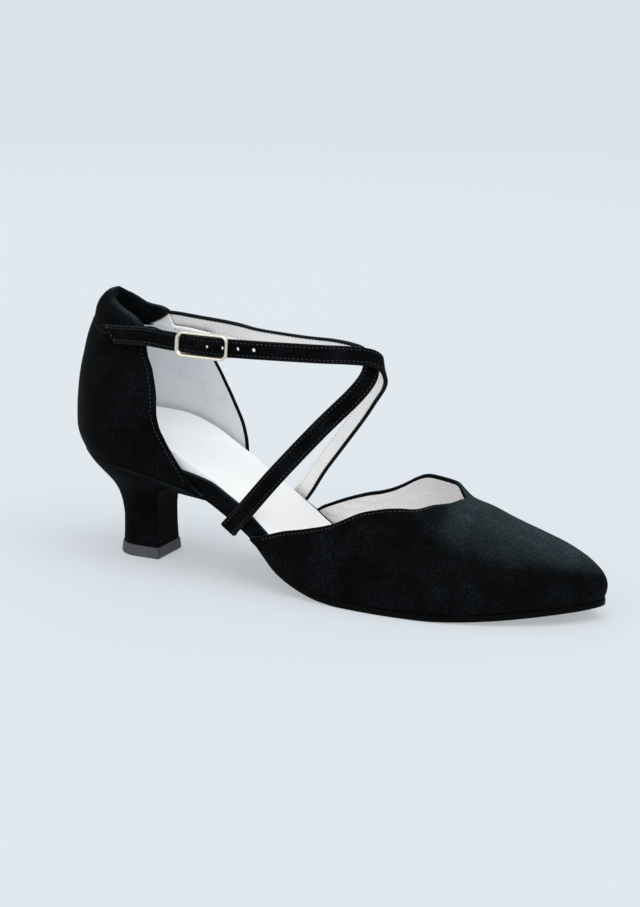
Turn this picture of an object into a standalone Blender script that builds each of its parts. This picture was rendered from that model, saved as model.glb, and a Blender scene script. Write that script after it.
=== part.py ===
"""A woman's ballroom court shoe for the right foot, with a closed toe and heel, an open waist and
two crossing instep straps.

Units are metres. While the shoe is worked out, X runs forward from the back of the heel seat, Y runs
from the outer side (negative) to the inner side, and Z runs up from the floor. An empty then carries
every piece back, so that the middle of the heel's top piece stands on the origin.
"""

import math

import bmesh
import bpy
import numpy as np

# The last
SOLE_LENGTH = 0.244
BALL_WIDTH = 0.0755
HEEL_HEIGHT = 0.049
TOE_SPRING = 0.0062
INSTEP_HEIGHT = 0.0442
RIDGE_OFFSET = 0.006
TOE_OFFSET = 0.003
SEAT_BACK = 0.0025

# The clear space that pieces keep where they meet
GAP = 0.0003

# Sole, board and sock
OUTSOLE_THICKNESS = 0.003
OUTSOLE_WAIST_INSET = 0.0065
BOARD_THICKNESS = 0.0075
SOCK_THICKNESS = 0.0008
SOCK_INSET = 0.0012
HEEL_PAD = 0.0035
HEEL_CUP = 0.0065
EDGE_ROUNDING = 0.0008

# Heel
TOP_PIECE_THICKNESS = 0.005
TOP_PIECE_WIDTH = 0.0206
TOP_PIECE_FLARE = 0.0008
BREAST_DISTANCE = 0.043
HEEL_TOP_LENGTH = 0.072
HEEL_BOTTOM_LENGTH = 0.0208

# Upper
UPPER_WALL = 0.0018
TOE_BULGE = 0.003
THROAT_TO_TOE = 0.063
TOE_POLE_TO_TOE = 0.023
OUTER_WING_DISTANCE = 0.097
INNER_WING_DISTANCE = 0.102
QUARTER_HEIGHT = 0.0553
HEEL_BULGE = 0.0036
QUARTER_REACH = 0.08
COLLAR_BACK = 0.0068
COLLAR_WIDTH = 0.0395
COLLAR_REACH = 0.06

# Padded collar
COLLAR_HEIGHT = 0.013
COLLAR_PAD = 0.0052
COLLAR_LEAN = 0.006
COLLAR_END = 0.58

# Straps
STRAP_WIDTH = 0.0079
STRAP_THICKNESS = 0.002
TAB_THICKNESS = 0.0012
TAIL_SLANT = 0.0045
SLANT_FADE = 0.013
STRAP_HEIGHT = 0.1
STRAP_LEAN = 0.4
TAB_STEP = 0.001
HOLE_DIAMETER = 0.0019
HOLE_SPACING = 0.0073
HOLES = 5

# Buckle
BUCKLE_LENGTH = 0.025
BUCKLE_HEIGHT = 0.0116
BUCKLE_WIRE = 0.0015
BUCKLE_CORNER = 0.003
BAR_OFFSET = 0.0018
BAR_THICKNESS = 0.0014
STUD_WIDTH = 0.0009

# Places on the vamp that keep their distance from the toe
THROAT_DISTANCE = SOLE_LENGTH - THROAT_TO_TOE
TOE_POLE_DISTANCE = SOLE_LENGTH - TOE_POLE_TO_TOE

# Fineness of the shapes
LAYER_STATIONS = 40
END_CUT = 0.04
HEEL_ROUND = 32
ROUTE_STEPS = 3
HOLE_SIDES = 12
WIRE_SIDES = 8

# Edge of the upper on the sole: share along the sole, outer and inner half width over the ball width
OUTLINE = (
    (0.016, 0.095, 0.093),
    (0.034, 0.190, 0.184),
    (0.063, 0.273, 0.260),
    (0.107, 0.331, 0.314),
    (0.164, 0.362, 0.336),
    (0.238, 0.362, 0.332),
    (0.311, 0.352, 0.312),
    (0.369, 0.362, 0.299),
    (0.430, 0.402, 0.330),
    (0.500, 0.448, 0.396),
    (0.574, 0.485, 0.457),
    (0.648, 0.501, 0.492),
    (0.705, 0.494, 0.502),
    (0.754, 0.474, 0.493),
    (0.807, 0.426, 0.458),
    (0.861, 0.358, 0.400),
    (0.910, 0.273, 0.326),
    (0.951, 0.177, 0.241),
    (0.982, 0.079, 0.154),
)

# Underside of the sole: share along it, height over the heel height, height over the toe spring
UNDERSIDE = (
    (-0.020, 1.010, 0.0),
    (0.000, 1.000, 0.0),
    (0.027, 0.973, 0.0),
    (0.070, 0.922, 0.0),
    (0.111, 0.901, 0.0),
    (0.146, 0.888, 0.0),
    (0.176, 0.867, 0.0),
    (0.215, 0.827, 0.0),
    (0.246, 0.786, 0.0),
    (0.266, 0.753, 0.0),
    (0.285, 0.710, 0.0),
    (0.302, 0.662, 0.0),
    (0.332, 0.556, 0.0),
    (0.373, 0.425, 0.0),
    (0.393, 0.362, 0.0),
    (0.422, 0.269, 0.0),
    (0.457, 0.156, 0.0),
    (0.484, 0.094, 0.0),
    (0.508, 0.053, 0.0),
    (0.541, 0.016, 0.0),
    (0.582, 0.000, 0.0),
    (0.730, 0.000, 0.0),
    (0.779, 0.000, 0.08),
    (0.840, 0.000, 0.28),
    (0.902, 0.000, 0.56),
    (0.951, 0.000, 0.79),
    (1.000, 0.000, 1.0),
    (1.050, 0.000, 1.2),
)

# Layers: share along the sole, then shares of the outsole, the board, the outsole's inset at the
# waist, the heel pad and the heel cup
LAYERS = (
    (0.00, 0.40, 0.60, 0.12, 1.00, 1.00),
    (0.16, 0.40, 0.62, 0.12, 1.00, 0.95),
    (0.23, 0.50, 0.72, 0.30, 0.70, 0.62),
    (0.27, 0.65, 0.76, 0.55, 0.42, 0.26),
    (0.31, 0.90, 0.82, 0.80, 0.15, 0.05),
    (0.34, 1.00, 0.94, 1.00, 0.00, 0.00),
    (0.37, 1.00, 1.00, 1.00, 0.00, 0.00),
    (0.41, 1.00, 0.96, 0.55, 0.00, 0.00),
    (0.45, 1.00, 0.80, 0.16, 0.00, 0.00),
    (0.54, 1.00, 0.58, 0.08, 0.00, 0.00),
    (0.65, 1.00, 0.48, 0.04, 0.00, 0.00),
    (0.90, 0.90, 0.42, 0.00, 0.00, 0.00),
    (1.00, 0.80, 0.42, -0.10, 0.00, 0.00),
)

# Ridge of the vamp: share along the sole, height over the instep height
RIDGE = (
    (0.37, 2.22),
    (0.41, 2.08),
    (0.49, 1.82),
    (0.574, 1.56),
    (0.656, 1.32),
    (0.70, 1.17),
    (0.742, 0.970),
    (0.78, 0.908),
    (0.82, 0.825),
    (0.87, 0.740),
    (0.91, 0.672),
    (0.95, 0.600),
)

# Swell of a vamp rib: share along the sole, upright share, bulge over the toe bulge, crown share
RIB_SHAPE = (
    (0.37, 0.45, 0.3, 0.35),
    (0.50, 0.45, 0.5, 0.40),
    (0.60, 0.48, 0.7, 0.45),
    (0.70, 0.50, 0.9, 0.50),
    (0.80, 0.50, 1.0, 0.55),
    (0.90, 0.48, 1.2, 0.68),
    (1.00, 0.45, 1.6, 0.80),
)

# Topline of the vamp: share of the way from wing to throat, share of the rib that is kept
OUTER_TOPLINE = (
    (0.00, 0.015),
    (0.05, 0.050),
    (0.10, 0.094),
    (0.19, 0.168),
    (0.33, 0.250),
    (0.47, 0.327),
    (0.59, 0.419),
    (0.67, 0.472),
    (0.78, 0.543),
    (0.84, 0.582),
    (0.88, 0.630),
    (0.91, 0.692),
    (0.94, 0.758),
    (0.97, 0.840),
    (1.00, 1.000),
)
INNER_TOPLINE = (
    (0.00, 0.040),
    (0.08, 0.122),
    (0.18, 0.200),
    (0.31, 0.280),
    (0.41, 0.327),
    (0.47, 0.362),
    (0.54, 0.415),
    (0.61, 0.484),
    (0.69, 0.558),
    (0.76, 0.602),
    (0.82, 0.645),
    (0.87, 0.700),
    (0.91, 0.775),
    (0.95, 0.880),
    (1.00, 1.000),
)

# Rim of the quarter: share from the collar's back to its reach, half width over the collar width
COLLAR_OUTLINE = (
    (0.02, 0.125),
    (0.08, 0.240),
    (0.18, 0.325),
    (0.36, 0.368),
    (0.58, 0.395),
    (0.80, 0.450),
    (1.00, 0.505),
)

# Quarter, going up: share of its height, share of the way to the rim, bulge over the heel bulge
QUARTER_SHAPE = (
    (0.00, 0.00, 0.00),
    (0.06, 0.00, 0.50),
    (0.15, 0.01, 0.90),
    (0.30, 0.06, 1.00),
    (0.45, 0.18, 1.00),
    (0.60, 0.37, 0.95),
    (0.74, 0.60, 0.77),
    (0.87, 0.80, 0.52),
    (1.00, 1.00, 0.00),
)

# Front edges of the quarter: share of its height, outer and inner share of its girth
QUARTER_FRONT = (
    (0.00, 0.920, 0.895),
    (0.03, 0.862, 0.895),
    (0.10, 0.824, 0.895),
    (0.17, 0.785, 0.893),
    (0.28, 0.732, 0.880),
    (0.37, 0.700, 0.860),
    (0.45, 0.690, 0.842),
    (0.60, 0.696, 0.815),
    (0.75, 0.685, 0.800),
    (0.85, 0.655, 0.830),
    (1.00, 0.640, 0.900),
)

# Top edge of the quarter: share of the girth, outer and inner height over the quarter height
QUARTER_TOP = (
    (0.00, 1.000, 1.000),
    (0.12, 0.990, 0.990),
    (0.20, 0.955, 0.955),
    (0.27, 0.924, 0.926),
    (0.42, 0.906, 0.916),
    (0.52, 0.925, 0.962),
    (0.58, 0.938, 1.008),
    (0.66, 0.945, 1.006),
    (0.80, 0.945, 0.985),
    (1.00, 0.945, 0.957),
)

# Cross-section of the collar: depth inward over the pad, height over the collar height, lean share
COLLAR_SECTION = (
    (0.00, 0.00, 0.00),
    (0.00, 0.16, 0.04),
    (0.00, 0.36, 0.14),
    (0.01, 0.58, 0.36),
    (0.08, 0.78, 0.66),
    (0.26, 0.94, 0.93),
    (0.55, 1.00, 1.06),
    (0.84, 0.95, 1.00),
    (1.00, 0.82, 0.84),
    (1.00, 0.62, 0.52),
    (0.92, 0.38, 0.20),
    (0.80, 0.16, 0.03),
    (0.62, 0.00, 0.00),
)

# Heel block, going up: share of its height, flare share at the back and at the breast
HEEL_FLARE = (
    (0.00, 0.00, 0.000),
    (0.14, -0.010, -0.012),
    (0.27, -0.008, -0.020),
    (0.43, 0.045, -0.026),
    (0.565, 0.15, -0.030),
    (0.69, 0.335, -0.028),
    (0.79, 0.56, -0.018),
    (0.87, 0.75, 0.015),
    (0.93, 0.88, 0.080),
    (0.97, 0.95, 0.260),
    (1.00, 1.00, 1.000),
)

# Outer waist to inner quarter: share along the sole, across over the ball width, height over the
# strap height, and the way that the strap's outer face looks (forward, inward, up)
CROSS_ROUTE = (
    (0.350, -0.300, 0.234, (-0.54, 0.1, -0.84)),
    (0.351, -0.345, 0.238, (-0.45, -0.5, -0.7)),
    (0.365, -0.366, 0.275, (-0.12, -1.0, -0.1)),
    (0.389, -0.366, 0.345, (0.0, -1.0, 0.0)),
    (0.434, -0.318, 0.490, (0.2, -1.0, 0.1)),
    (0.500, -0.225, 0.690, (0.4, -0.9, 0.2)),
    (0.549, -0.120, 0.833, (0.6, -0.75, 0.35)),
    (0.566, -0.059, 0.900, (0.66, -0.5, 0.5)),
    (0.566, 0.008, 0.950, (0.68, -0.1, 0.7)),
    (0.555, 0.066, 0.980, (0.6, 0.4, 0.65)),
    (0.529, 0.119, 0.990, (0.4, 0.8, 0.4)),
    (0.471, 0.179, 0.989, (0.25, 0.95, 0.2)),
    (0.410, 0.225, 0.980, (0.15, 0.98, 0.1)),
    (0.324, 0.265, 0.980, (0.05, 1.0, 0.05)),
)

# Buckle to inner waist, in the same columns
BUCKLE_ROUTE = (
    (0.297, -0.296, 1.009, (0.02, -1.0, 0.1)),
    (0.360, -0.285, 1.013, (0.1, -1.0, 0.1)),
    (0.412, -0.248, 1.013, (0.25, -0.96, 0.1)),
    (0.489, -0.166, 1.010, (0.4, -0.88, 0.2)),
    (0.529, -0.093, 1.006, (0.5, -0.78, 0.35)),
    (0.559, -0.033, 0.999, (0.6, -0.62, 0.45)),
    (0.576, 0.010, 0.983, (0.72, -0.35, 0.5)),
    (0.581, 0.060, 0.939, (0.8, 0.2, 0.45)),
    (0.572, 0.115, 0.878, (0.72, 0.6, 0.33)),
    (0.549, 0.177, 0.807, (0.6, 0.75, 0.25)),
    (0.513, 0.230, 0.687, (0.48, 0.86, 0.15)),
    (0.475, 0.268, 0.566, (0.42, 0.9, 0.1)),
    (0.438, 0.292, 0.444, (0.35, 0.93, 0.05)),
    (0.411, 0.302, 0.340, (0.2, 0.98, 0.0)),
    (0.392, 0.302, 0.275, (-0.12, 1.0, -0.1)),
    (0.377, 0.290, 0.222, (-0.45, 0.5, -0.7)),
    (0.374, 0.245, 0.212, (-0.54, -0.1, -0.84)),
)

# Where the straps lie by the quarter's rim: share of the girth, and height over the strap height
TAIL_REST = ((-0.345, 0.990), (-0.50, 0.996), (-0.66, 1.003))
TAB_REST = ((-0.60, 0.999), (-0.65, 1.001), (-0.71, 1.005))
CROSS_REST = ((0.92, 0.998), (0.78, 1.007), (0.66, 1.015))


def curve_through(rows, column):
    """Return a smooth function of a table's first column that keeps its levels flat."""
    x = np.array([row[0] for row in rows])
    y = np.array([row[column] for row in rows])
    run = np.diff(x)
    grade = np.diff(y) / run
    slope = np.zeros_like(y)
    slope[0], slope[-1] = grade[0], grade[-1]
    for i in range(1, len(x) - 1):
        if grade[i - 1] * grade[i] > 0:
            weight = (2 * run[i] + run[i - 1], run[i] + 2 * run[i - 1])
            slope[i] = sum(weight) / (weight[0] / grade[i - 1] + weight[1] / grade[i])

    def value(at):
        at = np.clip(at, x[0], x[-1])
        i = np.clip(np.searchsorted(x, at, side="right") - 1, 0, len(x) - 2)
        h = run[i]
        t = (at - x[i]) / h
        return (
            (1 + 2 * t) * (1 - t) ** 2 * y[i]
            + t * (1 - t) ** 2 * h * slope[i]
            + t * t * (3 - 2 * t) * y[i + 1]
            + t * t * (t - 1) * h * slope[i + 1]
        )

    return value


def smooth_path(points, steps):
    """Return points on a smooth curve through the given points, with steps to each stretch."""
    p = np.asarray(points, float)
    before = 2 * p[0] - p[1]
    after = 2 * p[-1] - p[-2]
    p = np.vstack([before, p, after])
    path = []
    for i in range(1, len(p) - 2):
        knots = [0.0]
        for k in range(3):
            knots.append(knots[-1] + max(np.linalg.norm(p[i + k] - p[i + k - 1]), 1e-9) ** 0.5)
        k0, k1, k2, k3 = knots
        for t in np.linspace(k1, k2, steps, endpoint=False):
            a1 = ((k1 - t) * p[i - 1] + (t - k0) * p[i]) / (k1 - k0)
            a2 = ((k2 - t) * p[i] + (t - k1) * p[i + 1]) / (k2 - k1)
            a3 = ((k3 - t) * p[i + 1] + (t - k2) * p[i + 2]) / (k3 - k2)
            b1 = ((k2 - t) * a1 + (t - k0) * a2) / (k2 - k0)
            b2 = ((k3 - t) * a2 + (t - k1) * a3) / (k3 - k1)
            path.append(((k2 - t) * b1 + (t - k1) * b2) / (k2 - k1))
    path.append(p[-2])
    return np.array(path)


def distance_along(path):
    steps = np.linalg.norm(np.diff(path[:, :3], axis=0), axis=1)
    return np.concatenate([[0], np.cumsum(steps)])


def respace(path, count):
    """Return count points at even spacing along a path."""
    reach = distance_along(path)
    at = np.linspace(0, reach[-1], count)
    return np.stack([np.interp(at, reach, path[:, k]) for k in range(path.shape[1])], axis=1)


def unit(v):
    v = np.asarray(v, float)
    return v / np.linalg.norm(v)


underside_heel = curve_through(UNDERSIDE, 1)
underside_toe = curve_through(UNDERSIDE, 2)
outsole_share = curve_through(LAYERS, 1)
board_share = curve_through(LAYERS, 2)
inset_share = curve_through(LAYERS, 3)
pad_share = curve_through(LAYERS, 4)
cup_share = curve_through(LAYERS, 5)
ridge_share = curve_through(RIDGE, 1)
upright_share = curve_through(RIB_SHAPE, 1)
bulge_share = curve_through(RIB_SHAPE, 2)
crown_share = curve_through(RIB_SHAPE, 3)
rim_share = curve_through(QUARTER_SHAPE, 1)
heel_bulge_share = curve_through(QUARTER_SHAPE, 2)
outer_front_share = curve_through(QUARTER_FRONT, 1)
inner_front_share = curve_through(QUARTER_FRONT, 2)
outer_top_share = curve_through(QUARTER_TOP, 1)
inner_top_share = curve_through(QUARTER_TOP, 2)
back_flare = curve_through(HEEL_FLARE, 1)
breast_flare = curve_through(HEEL_FLARE, 2)


def sole_underside(x):
    """Height of the sole's lower face at a distance along the shoe."""
    share = x / SOLE_LENGTH
    return HEEL_HEIGHT * underside_heel(share) + TOE_SPRING * underside_toe(share)


def lean_at(x):
    """Ratio of a layer's upright thickness to its real thickness, where the sole slopes."""
    step = SOLE_LENGTH / 200
    rise = (sole_underside(x + step) - sole_underside(x - step)) / (2 * step)
    return math.sqrt(1 + rise * rise)


def outsole_top(x):
    return sole_underside(x) + OUTSOLE_THICKNESS * outsole_share(x / SOLE_LENGTH) * lean_at(x)


def feather_height(x):
    """Height at which the upper and the board start, just clear of the outsole."""
    return outsole_top(x) + GAP


def board_top(x):
    return feather_height(x) + BOARD_THICKNESS * board_share(x / SOLE_LENGTH) * lean_at(x)


def side_points(side):
    """Plan points of the upper's edge from heel to toe, on the outer (-1) or inner (1) side."""
    column = 1 if side < 0 else 2
    points = [(SEAT_BACK, 0.0)]
    points += [(row[0] * SOLE_LENGTH, side * row[column] * BALL_WIDTH) for row in OUTLINE]
    points.append((SOLE_LENGTH, TOE_OFFSET))
    return points


def outline_loop():
    """Dense closed plan outline of the upper's edge, from the heel along the outer side and back."""
    outer = side_points(-1)
    inner = side_points(1)
    loop = outer + inner[-2:0:-1]
    ahead = loop[:3]
    behind = loop[-3:]
    steps = 12
    path = smooth_path(behind + loop + ahead, steps)
    return path[3 * steps : (3 + len(loop)) * steps]


def inset_loop(loop, distance):
    """Move a closed plan outline inward, by one distance or by a distance for each point."""
    along = np.roll(loop, -1, axis=0) - np.roll(loop, 1, axis=0)
    along /= np.linalg.norm(along, axis=1)[:, None]
    inward = np.stack([-along[:, 1], along[:, 0]], axis=1)
    return loop + inward * np.reshape(distance, (-1, 1))


def loop_sides(loop):
    """Split a plan outline into functions of X for its outer and inner side, with its two ends."""
    heel = int(np.argmin(loop[:, 0]))
    rolled = np.roll(loop, -heel, axis=0)
    toe = int(np.argmax(rolled[:, 0]))
    outer = rolled[: toe + 1]
    inner = np.vstack([rolled[toe:], rolled[:1]])[::-1]

    def width(x, side):
        half = outer if side < 0 else inner
        keep = np.concatenate([[True], np.diff(np.maximum.accumulate(half[:, 0])) > 0])
        return np.interp(x, half[keep, 0], half[keep, 1])

    return width, rolled[0, 0], rolled[toe, 0]


UPPER_LOOP = outline_loop()
upper_width, UPPER_BACK, UPPER_TIP = loop_sides(UPPER_LOOP)
BOARD_LOOP = inset_loop(UPPER_LOOP, UPPER_WALL + GAP)
SOCK_LOOP = inset_loop(BOARD_LOOP, SOCK_INSET)


def material(name, colour, roughness, metallic=0.0):
    made = bpy.data.materials.new(name)
    made.use_nodes = True
    shader = made.node_tree.nodes["Principled BSDF"]
    shader.inputs["Base Color"].default_value = (*colour, 1.0)
    shader.inputs["Roughness"].default_value = roughness
    shader.inputs["Metallic"].default_value = metallic
    return made


def mesh_object(name, points, faces, finish, base, smooth=True, weld=0.0):
    """Make one object from points and faces, with its faces looking out, under the base empty."""
    mesh = bpy.data.meshes.new(name)
    body = bmesh.new()
    verts = [body.verts.new(tuple(point)) for point in points]
    for face in faces:
        body.faces.new([verts[i] for i in face])
    if weld:
        bmesh.ops.remove_doubles(body, verts=body.verts, dist=weld)
    bmesh.ops.recalc_face_normals(body, faces=body.faces)
    body.to_mesh(mesh)
    body.free()
    if smooth:
        mesh.shade_smooth()
        mesh.set_sharp_from_angle(angle=math.radians(40))
    mesh.materials.append(finish)
    made = bpy.data.objects.new(name, mesh)
    bpy.context.collection.objects.link(made)
    made.parent = base
    return made


def loft(rings):
    """Return the points and faces of a closed solid through rings of the same count."""
    count = len(rings[0])
    points = np.vstack(rings)
    faces = []
    for i in range(len(rings) - 1):
        for k in range(count):
            nxt = (k + 1) % count
            faces.append((i * count + k, i * count + nxt, (i + 1) * count + nxt, (i + 1) * count + k))
    faces.append(tuple(range(count))[::-1])
    last = (len(rings) - 1) * count
    faces.append(tuple(range(last, last + count)))
    return points, faces


def layer_ring(x, outer, inner, low, high, rounding):
    """Cross-section of a flat layer of the sole, with its four long edges taken off."""
    r = min(rounding, (high - low) * 0.45, (inner - outer) * 0.3)
    return np.array(
        [
            (x, outer + r, low),
            (x, inner - r, low),
            (x, inner, low + r),
            (x, inner, high - r),
            (x, inner - r, high),
            (x, outer + r, high),
            (x, outer, high - r),
            (x, outer, low + r),
        ]
    )


def layer(name, loop, low, high, rounding, finish, base, stations=LAYER_STATIONS):
    """One layer of the sole: its plan outline, between two height functions."""
    width, back, tip = loop_sides(loop)
    rings = []
    for turn in np.linspace(END_CUT, 1 - END_CUT, stations):
        x = back + (tip - back) * (1 - math.cos(math.pi * turn)) / 2
        rings.append(layer_ring(x, width(x, -1), width(x, 1), low(x), high(x), rounding))
    points, faces = loft(rings)
    return mesh_object(name, points, faces, finish, base)


def make_outsole(finish, base):
    inset = OUTSOLE_WAIST_INSET * inset_share(UPPER_LOOP[:, 0] / SOLE_LENGTH)
    loop = inset_loop(UPPER_LOOP, inset)
    return layer("outsole", loop, sole_underside, outsole_top, EDGE_ROUNDING / 2, finish, base)


def make_insole_board(finish, base):
    return layer("insole_board", BOARD_LOOP, feather_height, board_top, EDGE_ROUNDING, finish, base)


def make_sock_lining(finish, base):
    """Leather sock on the board, padded and cupped at the heel."""
    width, back, tip = loop_sides(SOCK_LOOP)
    across = np.linspace(-1, 1, 9)
    rings = []
    for turn in np.linspace(END_CUT, 1 - END_CUT, LAYER_STATIONS):
        x = back + (tip - back) * (1 - math.cos(math.pi * turn)) / 2
        outer, inner = width(x, -1), width(x, 1)
        y = (outer + inner) / 2 + (inner - outer) / 2 * across
        low = board_top(x) + GAP
        share = x / SOLE_LENGTH
        pad = SOCK_THICKNESS + HEEL_PAD * pad_share(share)
        high = low + pad + HEEL_CUP * cup_share(share) * np.abs(across) ** 3
        floor = np.column_stack([np.full(2, x), (inner, outer), (low, low)])
        rings.append(np.vstack([floor, np.column_stack([np.full(9, x), y, high])]))
    points, faces = loft(rings)
    return mesh_object("sock_lining", points, faces, finish, base)


def heel_plan(count, length, width, power=0.9):
    """Plan of the heel's foot, from the breast's outer corner round the back to its inner corner."""
    turn = np.linspace(0, math.pi, count)
    straight = length * 0.48
    x = np.where(
        np.sin(turn) >= 0,
        BREAST_DISTANCE - straight - (length - straight) * np.sin(turn) ** power,
        BREAST_DISTANCE,
    )
    y = -width / 2 * np.sign(np.cos(turn)) * np.abs(np.cos(turn)) ** power
    curve = np.stack([x, y], axis=1)
    outer = np.array([(BREAST_DISTANCE, -width / 2)])
    inner = np.array([(BREAST_DISTANCE, width / 2)])
    return respace(np.vstack([outer, curve, inner]), count)


def seat_plan(count):
    """Plan of the heel's seat, from its outer front corner round the back to its inner one."""
    inset = inset_loop(UPPER_LOOP, OUTSOLE_WAIST_INSET * inset_share(UPPER_LOOP[:, 0] / SOLE_LENGTH))
    width, back, _ = loop_sides(inset)
    turns = np.linspace(0, math.pi / 2, 60)
    reach = back + (HEEL_TOP_LENGTH - back) * (1 - np.cos(turns))
    outer = [(x, width(x, -1)) for x in reach[::-1]]
    inner = [(x, width(x, 1)) for x in reach[1:]]
    return respace(np.array(outer + inner), count)


def make_heel_block(finish, base):
    """Covered block heel: the seat's plan above, drawn in to a small foot, with a lip at the breast."""
    around = HEEL_ROUND
    across = 7
    low = heel_plan(around, HEEL_BOTTOM_LENGTH, TOP_PIECE_WIDTH)
    high = seat_plan(around)
    low_breast = np.linspace(low[-1], low[0], across + 2)[1:-1]
    high_breast = np.linspace(high[-1], high[0], across + 2)[1:-1]
    foot = np.vstack([low, low_breast])
    seat = np.vstack([high, high_breast])
    forward = np.clip((seat[:, 0] - 0.35 * HEEL_TOP_LENGTH) / (0.65 * HEEL_TOP_LENGTH), 0, 1) ** 1.5
    rings = []
    for level in (0, 0.14, 0.27, 0.38, 0.48, 0.57, 0.65, 0.72, 0.79, 0.86, 0.92, 0.965, 1):
        flare = back_flare(level) * (1 - forward) + breast_flare(level) * forward
        plan = foot + (seat - foot) * flare[:, None]
        bottom = TOP_PIECE_THICKNESS + GAP
        top = sole_underside(seat[:, 0]) - GAP
        rings.append(np.column_stack([plan, bottom + (top - bottom) * level]))
    points, faces = loft(rings)

    # the top follows the sole in strips from side to side
    faces.pop()
    first = len(points) - len(rings[-1])
    rear = first + around - 1
    breast = tuple(range(rear + 1, len(points)))
    faces.append((rear,) + breast + (first, first + 1, rear - 1))
    for k in range(1, around // 2 - 1):
        faces.append((first + k, first + k + 1, rear - k - 1, rear - k))
    return mesh_object("heel_block", points, faces, finish, base)


def make_heel_top_piece(finish, base):
    rings = []
    for height, flare in ((0.0, TOP_PIECE_FLARE), (TOP_PIECE_THICKNESS, TOP_PIECE_FLARE / 2)):
        plan = heel_plan(HEEL_ROUND, HEEL_BOTTOM_LENGTH + 2 * flare, TOP_PIECE_WIDTH + 2 * flare)
        plan[:, 0] += flare
        rings.append(np.column_stack([plan, np.full(len(plan), height)]))
    points, faces = loft(rings)
    return mesh_object("heel_top_piece", points, faces, finish, base)


def ridge_point(x):
    return np.array([x, RIDGE_OFFSET, INSTEP_HEIGHT * ridge_share(x / SOLE_LENGTH)])


def vamp_rib(foot, outward, ridge, shares):
    """Points up a vamp rib from the sole to the ridge, at the given shares of the way."""
    along = foot[0] / SOLE_LENGTH
    rise = ridge[2] - foot[2]
    flat = ridge[:2] - foot[:2]
    span = np.linalg.norm(flat)
    away = -flat / span
    step = SOLE_LENGTH / 100
    slope = (ridge_point(ridge[0] + step)[2] - ridge_point(ridge[0] - step)[2]) / (2 * step)
    bulge = TOE_BULGE * bulge_share(along)
    p1 = foot + np.array([outward[0] * bulge, outward[1] * bulge, rise * upright_share(along)])
    reach = span * crown_share(along)
    p2 = ridge + reach * np.array([away[0], away[1], slope * max(away[0], 0.0)])
    t = np.asarray(shares)[:, None]
    return (1 - t) ** 3 * foot + 3 * t * (1 - t) ** 2 * p1 + 3 * t * t * (1 - t) * p2 + t**3 * ridge


def vamp_stations(side, open_ribs=25, closed_ribs=8):
    """Distances of the straight ribs of one side, from the wing to the toe pole."""
    wing = OUTER_WING_DISTANCE if side < 0 else INNER_WING_DISTANCE
    opened = np.linspace(wing, THROAT_DISTANCE, open_ribs, endpoint=False)
    return np.concatenate([opened, np.linspace(THROAT_DISTANCE, TOE_POLE_DISTANCE, closed_ribs)])


def topline_share(x, side):
    """Share of a rib that the vamp keeps at a distance along the shoe."""
    wing = OUTER_WING_DISTANCE if side < 0 else INNER_WING_DISTANCE
    table = OUTER_TOPLINE if side < 0 else INNER_TOPLINE
    rows = np.array(table)
    along = (x - wing) / (THROAT_DISTANCE - wing)
    if along >= 1:
        return 1.0
    path = smooth_path(rows, 12)
    return float(np.interp(along, path[:, 0], path[:, 1]))


def straight_rib(x, side, shares):
    foot = np.array([x, upper_width(x, side), feather_height(x)])
    step = SOLE_LENGTH / 200
    turn = (upper_width(x + step, side) - upper_width(x - step, side)) / (2 * step)
    outward = unit((-turn * side, side))
    return vamp_rib(foot, outward, ridge_point(x), shares)


def toe_feet(count):
    """Points of the outline round the toe, past the pole, from the outer to the inner side."""
    toe = UPPER_LOOP[UPPER_LOOP[:, 0] > TOE_POLE_DISTANCE]
    start = (TOE_POLE_DISTANCE, float(upper_width(TOE_POLE_DISTANCE, -1)))
    end = (TOE_POLE_DISTANCE, float(upper_width(TOE_POLE_DISTANCE, 1)))
    return respace(np.vstack([start, toe, end]), count)


def make_vamp(finish, base):
    """Closed toe part: ribs from the sole to the ridge, fanned round the toe and cut at the topline."""
    rows = 9
    shares = np.linspace(0, 1, rows)
    ribs = []
    for x in vamp_stations(-1):
        ribs.append(straight_rib(x, -1, shares * topline_share(x, -1)))
    feet = toe_feet(17)
    pole = ridge_point(TOE_POLE_DISTANCE)
    for i in range(1, len(feet) - 1):
        along = unit(feet[i + 1] - feet[i - 1])
        outward = (along[1], -along[0])
        foot = np.array([feet[i, 0], feet[i, 1], feather_height(feet[i, 0])])
        ribs.append(vamp_rib(foot, outward, pole, shares))
    for x in vamp_stations(1)[::-1]:
        ribs.append(straight_rib(x, 1, shares * topline_share(x, 1)))
    points = np.vstack(ribs)
    faces = []
    for i in range(len(ribs) - 1):
        for k in range(rows - 1):
            corner = i * rows + k
            faces.append((corner, corner + rows, corner + rows + 1, corner + 1))
    return shell("vamp", points, faces, finish, base)


def shell(name, points, faces, finish, base):
    """A skin with its corners welded, thickened inward by the upper's wall."""
    made = mesh_object(name, points, faces, finish, base, weld=0.00002)
    wall = made.modifiers.new("wall", "SOLIDIFY")
    wall.thickness = UPPER_WALL
    wall.offset = -1.0
    wall.use_even_offset = True
    wall.use_rim = True
    return made


def girth_curves(side, count=80):
    """The quarter's lower and upper plan curves of one side, from the back forward."""
    turns = np.linspace(0, math.pi / 2, 120)
    reach = UPPER_BACK + (QUARTER_REACH - UPPER_BACK) * (1 - np.cos(turns))
    low = respace(np.array([(x, upper_width(x, side)) for x in reach]), count)
    rim = [(COLLAR_BACK, 0.0)]
    for along, half in COLLAR_OUTLINE:
        rim.append((COLLAR_BACK + along * (COLLAR_REACH - COLLAR_BACK), side * half * COLLAR_WIDTH))
    mirrored = (rim[1][0], -rim[1][1])
    high = respace(smooth_path([mirrored] + rim, 10)[10:], count)
    return low, high


GIRTHS = {side: girth_curves(side) for side in (-1, 1)}


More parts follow.
